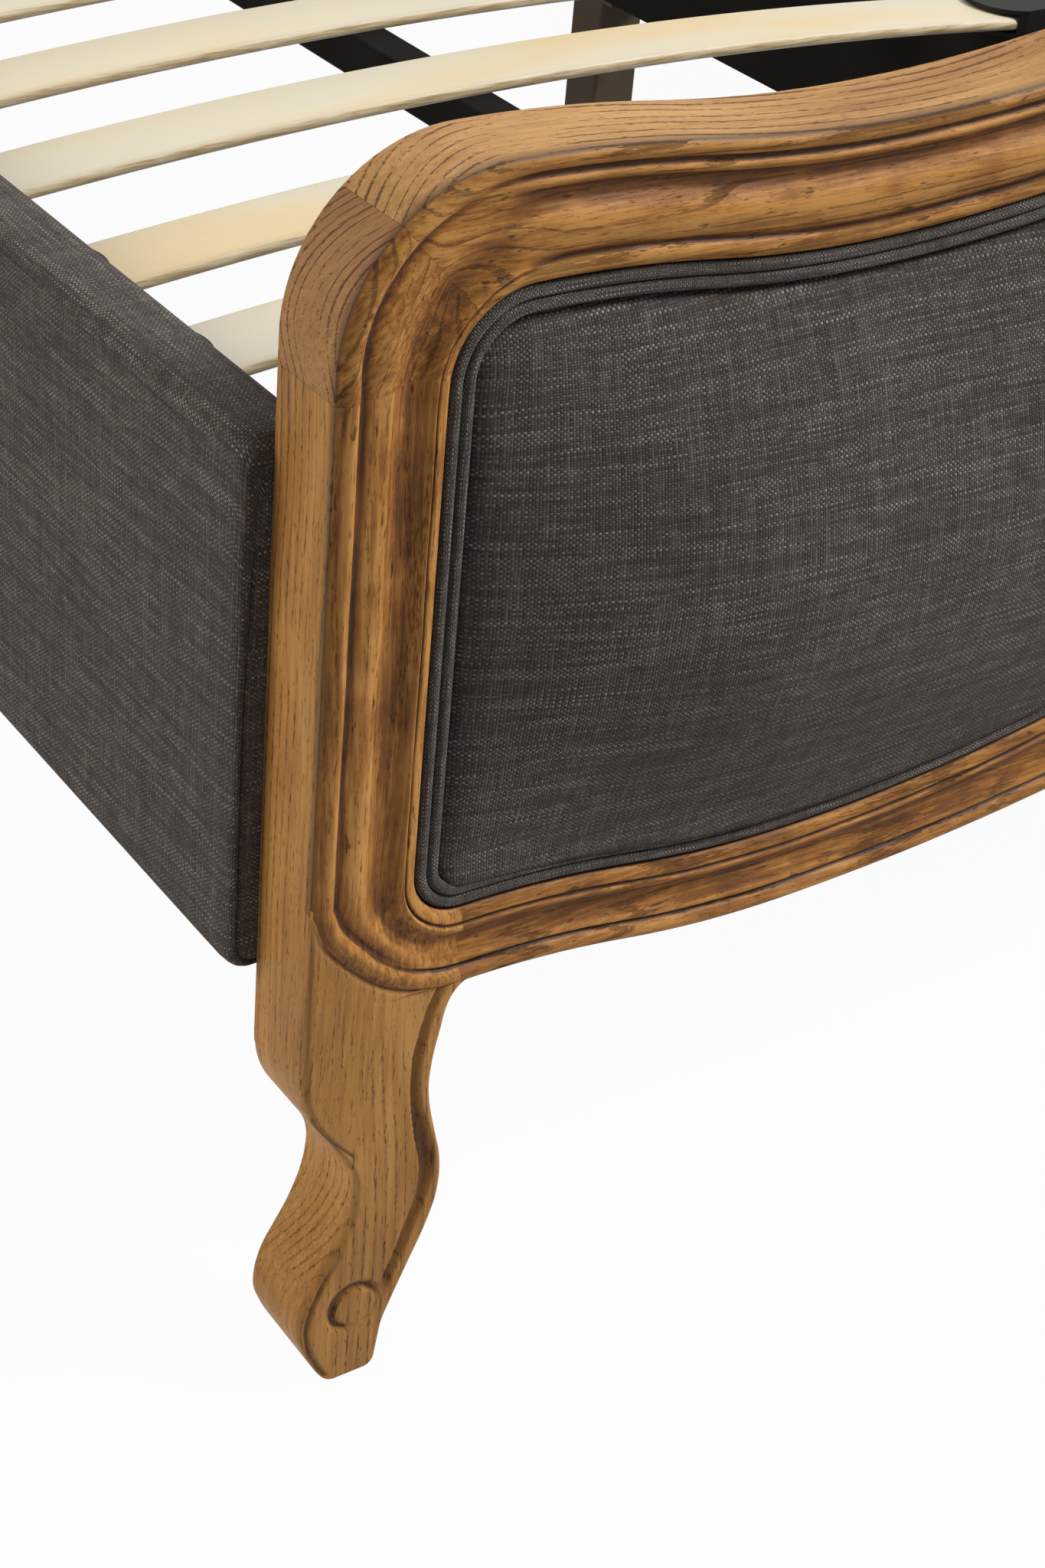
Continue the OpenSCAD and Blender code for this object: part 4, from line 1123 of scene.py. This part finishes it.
@dataclass
class EndBoard:
    """A carved, upholstered end board: foot or head.

    steps are the segments in a short arc, and post_rows the rows of a post above its low corner. The cords
    have a radius cord_r, a middle cord_t above the back, and lie cord_outs out from the opening. The pad
    starts pad_edge inside the opening, pad_rim_t above the back, rises by pad_rim_rise over pad_rim_w, and
    swells by pad_swell, which takes pad_swell_reach from the edge.
    """

    board: Board
    finishes: Finishes
    nodes: dict[str, Piece]
    steps: int = 8
    post_rows: int = 39
    cord_r: float = 3.15
    cord_t: float = 41.6
    cord_outs: tuple[float, float] = (-3.6, -10.1)
    pad_edge: float = 13.6
    pad_rim_t: float = 33.0
    pad_rim_rise: float = 9.0
    pad_rim_w: float = 15.0
    pad_swell: float = 55.0
    pad_swell_reach: float = 200.0

    @property
    def back(self) -> float:
        """The y of the board's back in millimetres."""
        return -HALF_L if self.board is Board.FOOT else HALF_L + BOARD_T

    @property
    def top(self) -> Wave:
        """The level curve of the top."""
        return TOPS[self.board]

    @property
    def opening_top(self) -> Wave:
        """The level curve over the opening, which falls a little less into its dip than the top does."""
        top = self.top
        return Wave(OPEN_U + OPEN_TOP_R, top.height - 58.6, top.drop - 0.6, top.rise, 1)

    def node(self, part: str) -> str:
        """The name of one of the board's CAD nodes."""
        return f"{self.board.value}_{part}"

    def corner(self, start: float, end: float, steps: int, out: float = 0.0) -> np.ndarray:
        """Stations of the opening's round top corner, moved out."""
        wave = self.opening_top
        return Arc(wave.start, wave.height - OPEN_TOP_R, OPEN_TOP_R, start, end, 1).stations(steps, out)

    def outer_corner(self, start: float, end: float, steps: int) -> np.ndarray:
        """Stations of the frame's round top corner."""
        return Arc(CORNER_R, self.top.height - CORNER_R, CORNER_R, start, end, 1).stations(steps)

    def top_stations(self, out: float = 0.0) -> np.ndarray:
        """Stations along the opening's left half above the block, moved out."""
        wave = self.opening_top.stations(self.steps, out)
        return np.concatenate([self.corner(BLOCK_END, 90, 10, out), wave[1:]])

    def outer_top_stations(self) -> np.ndarray:
        """Stations along the top rail's outer edge, left half."""
        return np.concatenate([self.outer_corner(BLOCK_END, 90, 10), self.top.stations(self.steps)[1:]])

    def loop(self, out: float) -> np.ndarray:
        """Closed line round the opening moved out, clockwise from the bottom middle."""
        sill = SILL.stations(self.steps, out)[::-1]
        low = LOW_CORNER.stations(12, out)
        side = self.corner(180, BLOCK_END, 10, out)
        rise = np.linspace(low[-1], side[0], 20)[1:-1]
        half = np.concatenate([sill, low[1:], rise, side, self.top_stations(out)[1:]])
        return np.concatenate([half, mirrored(half)[1:-1]])

    def make_posts(self) -> None:
        """Posts with the carved stile, the arch and the leg."""
        low = LOW_CORNER.stations(28)
        edge = even_points(curve_through(ARCH, 6)[::-1], len(low)) + (0, RAIL_Z)
        edge[:, 0] = np.maximum(edge[:, 0], 0)
        way = np.gradient(edge, axis=0)
        way /= np.linalg.norm(way, axis=1)[:, None]
        outer = np.concatenate([edge, np.stack([-way[:, 1], way[:, 0]], 1)], 1)
        outer[0, 2:], outer[-1, 2:] = (0, -1), (-1, 0)
        foot, top = LOW_CORNER.z, self.top.height - BLOCK_LOW
        # The rows stand closer near the foot.
        heights = foot + (top - foot) * spread(0, 1, self.post_rows)[1:] ** 1.4
        # Near its top the post already follows the round corner of the opening.
        turn = np.arcsin(np.clip((heights - self.opening_top.height + OPEN_TOP_R) / OPEN_TOP_R, 0, 1))
        rise = np.stack([OPEN_U + OPEN_TOP_R * (1 - np.cos(turn)), heights, -np.cos(turn), np.sin(turn)], 1)
        # The outer line starts lower than the inner one and draws level with it over 90 mm.
        none = np.zeros(self.post_rows)
        sunk = heights - (foot - edge[-1, 1]) * (1 - smoothstep(0, 90, heights - foot))
        rise_out = np.stack([none, sunk, none - 1, none], 1)
        shares = np.concatenate([smoothstep(OPEN_U, JOINT_U - 0.01, low[:, 0]), none])
        shapes = between(STILE, BOTTOM_SHAPE, shares)
        inner, outer = np.concatenate([low, rise]), np.concatenate([outer, rise_out])
        strip = Strip(inner, outer, self.back, shapes, buried=len(low) - 2).make("stile")
        leg = FootLeg(self.back).make("leg") if self.board is Board.FOOT else self.plain_leg()
        place_pair(join([strip, leg]), self.finishes.oak_upright, self.node("post_{}"), "waxed_oak")

    def plain_leg(self) -> Piece:
        """Tapered leg of the head board, with a rounded inner shoulder."""
        z = graded((55, -20, -244.6), (24, 40))
        left = np.interp(-z, [0, 70, 160, 245], [0, 1, 4, 8])
        right = np.interp(-z, [-55, 4, 11, 24, 45, 80, 160, 245], [0, 84, 74, 67, 62, 58, 51, 44])
        right = np.where(z > -5, across_at(ARCH, z) + 1.5, right)
        right = np.maximum(right, left + 2)
        # Each point is a height above the back and a distance in from the edge.
        profile = ((0.0, 1.5), (1.5, 0.0), (46.0, 0.0), (48.0, 2.0))
        ring = [(left + pull, h) for h, pull in profile] + [(right - pull, h) for h, pull in profile[::-1]]
        points = np.stack([np.stack([u, z + RAIL_Z, np.full(len(z), h)], -1) for u, h in ring], 1)
        bare = np.zeros(points.shape[:2])
        return wrapped("leg", stand(points, self.back), wax=bare, carved=bare)

    def make_blocks(self) -> None:
        """Corner blocks between post and top rail."""
        low, end = self.top.height - BLOCK_LOW, BLOCK_END + 0.1
        upright = [[0, z, -1, 0] for z in np.linspace(low + 0.15, self.top.height - CORNER_R, 6)[:-1]]
        start = 180 - math.degrees(math.asin((low - self.opening_top.height + OPEN_TOP_R) / OPEN_TOP_R))
        inner = self.corner(start, end, 27)
        outer = np.concatenate([upright, self.outer_corner(180, end, 22)])
        shapes = between(STILE, TOP_SHAPE, np.zeros(len(inner)))
        block = Strip(inner, outer, self.back, shapes).make("block")
        place_pair(block, self.finishes.oak_block, self.node("corner_{}"), "waxed_oak")

    def make_rails(self) -> None:
        """Top and bottom rail in one piece each."""
        lines = self.top_stations(), self.outer_top_stations()
        shares = smoothstep(lines[0][0, 0], 112, lines[0][:, 0])
        top_shapes = between(STILE, TOP_SHAPE, np.concatenate([shares, shares[::-1][1:]]))
        tops = [np.concatenate([line, mirrored(line)[1:]]) for line in lines]
        lows = [wave.stations(self.steps)[::-1] for wave in (SILL, APRON)]
        lows = [np.concatenate([mirrored(line)[:-1], line]) for line in lows]
        low_shapes = between(BOTTOM_SHAPE, TOP_SHAPE, np.zeros(len(lows[0])))
        for part, (inner, outer), shapes, finish in (
            ("top_rail", tops, top_shapes, self.finishes.oak_across),
            ("bottom_rail", lows, low_shapes, self.finishes.oak_low),
        ):
            rail = Strip(inner, outer, self.back, shapes).make(part)
            finish.dress(rail)
            place(rail, self.node(part), "waxed_oak")

    def make_cords(self) -> None:
        """Two cloth-covered cords round the pad."""
        turns = np.radians(np.arange(0, 360, 24))
        for part, out in zip(("piping_outer", "piping_inner"), self.cord_outs):
            line = self.loop(out)
            n = self.cord_r * np.cos(turns)
            points = line[:, None, :2] + n[None, :, None] * line[:, None, 2:]
            rings = lifted(points, self.cord_t + self.cord_r * np.sin(turns))
            run = run_along(line[:, :2]) * MM
            along = np.append(run, run[-1] + np.linalg.norm(line[-1, :2] - line[0, :2]) * MM)
            around = np.append(turns, math.tau) * self.cord_r * MM
            cord = wrapped("cord", stand(rings, self.back), closed=True, uv=(along, around), angle=60)
            self.finishes.cord_cloth.dress(cord)
            place(cord, self.node(part), "grey_weave")

    def make_pad(self) -> None:
        """Crowned pad over the panel board."""
        line = self.loop(-self.pad_edge)[:, :2]
        left, right = OPEN_U + self.pad_edge, 2 * HALF_W - OPEN_U - self.pad_edge
        near = np.array([0, 0.6, 1.4, 2.5, 4, 6, 8.5, 11.5, 15, 19, 24, 30, 38, 48, 60])
        cols = np.concatenate([left + near, np.linspace(left + 75, right - 75, 150), (right - near)[::-1]])
        low, high = self.pad_edges(cols)
        rows_low = low[:, None] + near[None, :]
        rows_high = high[:, None] - near[None, ::-1]
        steps = int((self.top.height - SILL.height) / 16)
        mid = np.linspace(0, 1, steps + 2)[1:-1]
        rows_mid = rows_low[:, -1:] + (rows_high[:, :1] - rows_low[:, -1:]) * mid[None, :]
        z = np.concatenate([rows_low, rows_mid, rows_high], 1)
        u = np.broadcast_to(cols[:, None], z.shape)
        spot = np.stack([u, z], -1).reshape(-1, 2)
        gap, nearest = distance_to(np.concatenate([line, line[:1]]), spot)
        away = (nearest - spot) / np.maximum(gap, 0.3)[:, None]
        # Filling pushes the taut cloth out like a pillow, most in the middle.
        dome = self.pad_swell * np.ones(len(spot))
        for from_edge in (u - left, right - u, z - low[:, None], high[:, None] - z):
            dome *= 1 - (1 - np.clip(from_edge / self.pad_swell_reach, 0, 1).reshape(-1)) ** 2.2
        rim = np.clip(gap / self.pad_rim_w, 0, 1)
        height = self.pad_rim_t + self.pad_rim_rise * np.sqrt(np.clip(1 - (1 - rim) ** 2, 0, 1)) + dome
        # Below, the filling hangs over part of the inner cord.
        under = np.clip(-away[:, 1], 0, 1) ** 2
        bulge = np.exp(-((gap - 6.5) / 6.0) ** 2) * (0.9 + 6.6 * under) * (gap > 0.3)
        height += 3.6 * under * np.exp(-((gap - 5.0) / 6.5) ** 2) * (gap > 0.3)
        points = np.concatenate([spot + away * bulge[:, None], height[:, None]], 1)
        pad = bent_grid("pad", stand(points, self.back).reshape(*z.shape, 3))
        put_uv(pad, points[:, 0] * MM, points[:, 1] * MM)
        activate(pad)
        bpy.ops.object.mode_set(mode="EDIT")
        bpy.ops.mesh.select_all(action="DESELECT")
        bpy.ops.mesh.select_mode(type="EDGE")
        bpy.ops.mesh.select_non_manifold()
        down = (0, (self.pad_rim_t - REBATE_T) * MM, 0)
        bpy.ops.mesh.extrude_region_move(TRANSFORM_OT_translate={"value": down})
        bpy.ops.mesh.edge_face_add()
        bpy.ops.object.mode_set(mode="OBJECT")
        finish_mesh(pad, 60)
        self.finishes.cloth.dress(pad)
        place(pad, self.node("panel_pad"), "grey_weave")

    def pad_edges(self, cols: np.ndarray) -> tuple[np.ndarray, np.ndarray]:
        """Lower and upper edge of the pad at columns u."""
        u = HALF_W - np.abs(cols - HALF_W)
        r = OPEN_LOW_R - self.pad_edge
        corner = LOW_CORNER.z - np.sqrt(np.clip(r * r - (u - JOINT_U) ** 2, 0, None))
        sill = SILL.stations(30, -self.pad_edge)
        low = np.where(u < JOINT_U, corner, np.interp(u, sill[:, 0], sill[:, 1]))
        r, wave = OPEN_TOP_R - self.pad_edge, self.opening_top
        corner = wave.height - OPEN_TOP_R + np.sqrt(np.clip(r * r - (u - wave.start) ** 2, 0, None))
        top = wave.stations(30, -self.pad_edge)
        return low, np.where(u < wave.start, corner, np.interp(u, top[:, 0], top[:, 1]))

    def make_back(self) -> None:
        """Cloth-covered back panel with a soft edge."""
        # Each ring is a distance out from the opening and a height above the back.
        rings = []
        for out, height in ((9.4, 5.6), (9.4, 1.8), (7.6, 0.2)):
            line = self.loop(out)[:, :2]
            rings.append(np.concatenate([line, np.full((len(line), 1), height)], 1))
        cover = wrapped("back", stand(np.stack(rings), self.back), angle=60)
        co = np.zeros(len(cover.data.vertices) * 3)
        cover.data.vertices.foreach_get("co", co)
        co = co.reshape(-1, 3)
        put_uv(cover, co[:, 0], co[:, 2])
        self.finishes.cloth.dress(cover)
        place(cover, self.node("back_panel"), "grey_weave")

    def make(self) -> None:
        """Makes every piece of the board."""
        self.make_posts()
        self.make_blocks()
        self.make_rails()
        self.make_cords()
        self.make_pad()
        self.make_back()
        dress_nodes(self.nodes, self.finishes.ply, self.node("panel_board"), self.node("dowels"))


@dataclass
class SideRails:
    """Padded side rails with a sewn end.

    end_rows are the rings near an end: how far in from the end each lies, and how much smaller it is.
    """

    finishes: Finishes
    nodes: dict[str, Piece]
    low: float = RAIL_Z
    high: float = 530.0
    outside: float = -16.0
    inside: float = 24.0
    corner_r: float = 12.0
    end_rows: tuple[Point, ...] = (
        (0.2, 9.0), (0.4, 6.4), (2.1, 5.3), (0.7, 4.4), (0.4, 3.4), (1.2, 2.1), (3, 1.1), (6, 0.5), (11, 0.1),
    )

    def ring(self) -> np.ndarray:
        """Outline of a cross-section as x and z, with points at most 24 mm apart."""
        out = rounded_box((self.outside, self.low), (self.inside, self.high), self.corner_r, 8)
        dense = []
        for p, q in zip(out, np.roll(out, -1, axis=0)):
            k = max(1, int(np.linalg.norm(q - p) / 12))
            dense.extend(p + (q - p) * j / k for j in range(k))
        return np.array(dense)

    def make_cover(self) -> Piece:
        """The left rail's cover: a long soft tube whose ends are closed by a sewn panel."""
        outline = self.ring()
        middle = np.array([(self.outside + self.inside) / 2, (self.low + self.high) / 2])
        places = [(-HALF_L + y, inset) for y, inset in self.end_rows]
        places += [(y, 0.0) for y in np.linspace(-HALF_L + 30, HALF_L - 30, 120)]
        places += [(HALF_L - y, inset) for y, inset in self.end_rows[::-1]]
        pull = outline - middle
        size = np.abs(pull).max(axis=0)
        # At the top the cover falls further before its seam.
        above = np.clip(pull[:, 1] / size[1], 0, 1)
        fall = np.stack([1 + 0.8 * above, 1 + 2.8 * (above > 0)], 1)
        rows = []
        for y, inset in places:
            scaled = middle + pull * (1 - inset * fall / size)
            rows.append(np.stack([scaled[:, 0] - HALF_W, np.full(len(outline), y), scaled[:, 1]], 1))
        run = run_along(outline)
        run = np.append(run, run[-1] + np.linalg.norm(outline[0] - outline[-1]))
        along = run_along(np.array(places))
        cover = wrapped("cover", np.array(rows) * MM, uv=(along * MM, run * MM), angle=50)
        self.lay_ends(cover)
        return cover

    def lay_ends(self, cover: Piece) -> None:
        """Lays the weave level on the sewn end panels."""
        mesh = cover.data
        for face in mesh.polygons:
            if abs(face.normal.y) > 0.9:
                for corner in face.loop_indices:
                    spot = mesh.vertices[mesh.loops[corner].vertex_index].co
                    mesh.uv_layers.active.data[corner].uv = (spot.x, spot.z)

    def make(self) -> None:
        """Makes both covers and dresses cores, ledgers, brackets and bolts."""
        for cover in place_pair(self.make_cover(), self.finishes.cloth, "{}_rail_cover", "grey_weave"):
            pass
        dress_nodes(self.nodes, self.finishes.ply, "left_rail_core", "right_rail_core")
        dress_nodes(self.nodes, self.finishes.black, "left_ledger", "right_ledger", "corner_brackets")
        dress_nodes(self.nodes, self.finishes.zinc, "bracket_bolts")


@dataclass
class Slats:
    """Bowed slats in two columns. The third row stands nearer to the foot by third_nearer."""

    finishes: Finishes
    rows: int = 17
    pitch: float = 119.0
    first: float = -HALF_L + 20 + 26.5
    third_nearer: float = 10.0
    width: float = 53.0
    thick: float = 8.0
    edge_r: float = 3.7
    bow: float = 20.0
    low: float = 476.0
    start: float = 30.0
    end: float = 788.0

    def make_slat(self) -> Piece:
        """One slat of the left column at the first row."""
        length = self.end - self.start
        radius = length**2 / (8 * self.bow) + self.bow / 2
        half = math.asin(length / 2 / radius)
        section = rounded_box((-self.width / 2, 0.0), (self.width / 2, self.thick), self.edge_r, 4)
        x, z = (self.start + self.end) / 2 - HALF_W, self.low + self.bow - radius
        y, reach = self.first + section[:, 0], radius + section[:, 1]
        turns = np.linspace(-half, half, 49)
        rows = [np.stack([x + reach * math.sin(a), y, z + reach * math.cos(a)], 1) for a in turns]
        return wrapped("slat", np.array(rows) * MM, angle=45)

    def make(self) -> None:
        """Copies the slat along the bed and to the right side."""
        one = self.make_slat()
        places = [i * self.pitch - (self.third_nearer if i == 2 else 0.0) for i in range(1, self.rows)]
        copies = [copy_of(one, Matrix.Translation((0, y * MM, 0))) for y in places]
        place_pair(join([one, *copies]), self.finishes.slat, "slats_{}", "birch_slat")


@dataclass
class Supports:
    """Beam, bars, cross rails, caps and centre leg."""

    finishes: Finishes
    nodes: dict[str, Piece]
    steel: tuple[str, ...] = (
        "centre_beam", "beam_hangers", "mid_bar_left", "mid_bar_right", "foot_cross_rail", "head_cross_rail",
    )
    moulded: tuple[str, ...] = (
        "slat_caps_left", "slat_caps_right", "slat_caps_centre", "leg_plug", "levelling_foot", "floor_glides",
    )

    def make(self) -> None:
        """Dresses the CAD nodes."""
        dress_nodes(self.nodes, self.finishes.black, *self.steel)
        dress_nodes(self.nodes, self.finishes.bronze, "centre_leg")
        dress_nodes(self.nodes, self.finishes.plastic, *self.moulded)


@dataclass(frozen=True)
class Lamp:
    """A square softbox: place and size in metres, power in watts, and warmth of its colour from 0 to 1."""

    name: str
    place: tuple[float, float, float]
    size: float
    power: float
    warm: float = 0.0

    def make(self, aim: Vector) -> None:
        """Hangs the lamp so that it looks at a point."""
        data = bpy.data.lights.new(self.name, "AREA")
        data.shape = "SQUARE"
        data.size = self.size
        data.energy = self.power
        data.color = (1.0, 1.0 - 0.3 * self.warm, 1.0 - 0.8 * self.warm)
        lamp = bpy.data.objects.new(self.name, data)
        bpy.context.scene.collection.objects.link(lamp)
        lamp.location = self.place
        lamp.rotation_mode = "QUATERNION"
        lamp.rotation_quaternion = (aim - Vector(self.place)).to_track_quat("-Z", "Y")


@dataclass(frozen=True)
class Studio:
    """Camera, lamps and floor: angles in degrees, places in metres, lens and film in millimetres."""

    eye: tuple[float, float, float] = (-1.352, -1.931, 1.074)
    yaw: float = 33.71
    pitch: float = 33.73
    roll: float = 3.65
    lens: float = 65.16
    film: float = 36.0
    shift: float = 0.0891
    aim: tuple[float, float, float] = (0.0, 0.0, 0.4)
    floor_size: float = 60.0
    lamps: tuple[Lamp, ...] = (
        Lamp("top", (0.2, 0.4, 4.4), 2.6, 22),
        Lamp("front", (2.7, -3.1, 4.0), 1.8, 320),
        Lamp("left", (-4.6, 1.0, 2.6), 2.4, 150, 0.12),
        Lamp("back", (1.0, 4.5, 3.0), 3.0, 60),
    )

    def make_camera(self) -> None:
        """Camera at the photograph's place."""
        yaw, pitch, roll = (math.radians(a) for a in (self.yaw, self.pitch, self.roll))
        ahead = Vector((math.sin(yaw) * math.cos(pitch), math.cos(yaw) * math.cos(pitch), -math.sin(pitch)))
        level = ahead.cross(Vector((0, 0, 1))).normalized()
        above = level.cross(ahead)
        right = level * math.cos(roll) + above * math.sin(roll)
        up = above * math.cos(roll) - level * math.sin(roll)
        data = bpy.data.cameras.new("camera")
        data.lens = self.lens
        data.sensor_width = self.film
        data.shift_x = self.shift
        data.clip_start = 0.05
        camera = bpy.data.objects.new("camera", data)
        bpy.context.scene.collection.objects.link(camera)
        turn = Matrix((right, up, -ahead)).transposed().to_4x4()
        camera.matrix_world = Matrix.Translation(self.eye) @ turn
        bpy.context.scene.camera = camera

    def make(self) -> None:
        """Makes the whole studio."""
        self.make_camera()
        for lamp in self.lamps:
            lamp.make(Vector(self.aim))
        # The floor lies 2 mm lower than the feet, so that the two never share a plane.
        bpy.ops.mesh.primitive_plane_add(size=self.floor_size, location=(0, 0, -0.002))
        floor = bpy.context.object
        floor.name = "studio_floor"
        activate(floor)
        bpy.ops.object.transform_apply(location=True, rotation=True, scale=True)
        Backdrop("studio_white").dress(floor)
        bpy.context.scene.world = Surroundings("studio").data
        bpy.context.scene.view_settings.view_transform = "Standard"


def main(nodes: dict[str, Piece]) -> None:
    """Builds the studio and every piece.

    Args:
        nodes: the frame's CAD nodes by name.
    """
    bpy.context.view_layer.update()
    Studio().make()
    finishes = Finishes.make()
    for board in Board:
        EndBoard(board, finishes, nodes).make()
    SideRails(finishes, nodes).make()
    Slats(finishes).make()
    Supports(finishes, nodes).make()
    deselect()


if __name__ == "__main__":
    logging.basicConfig(level=logging.INFO)
    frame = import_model()
    main(frame["nodes"])
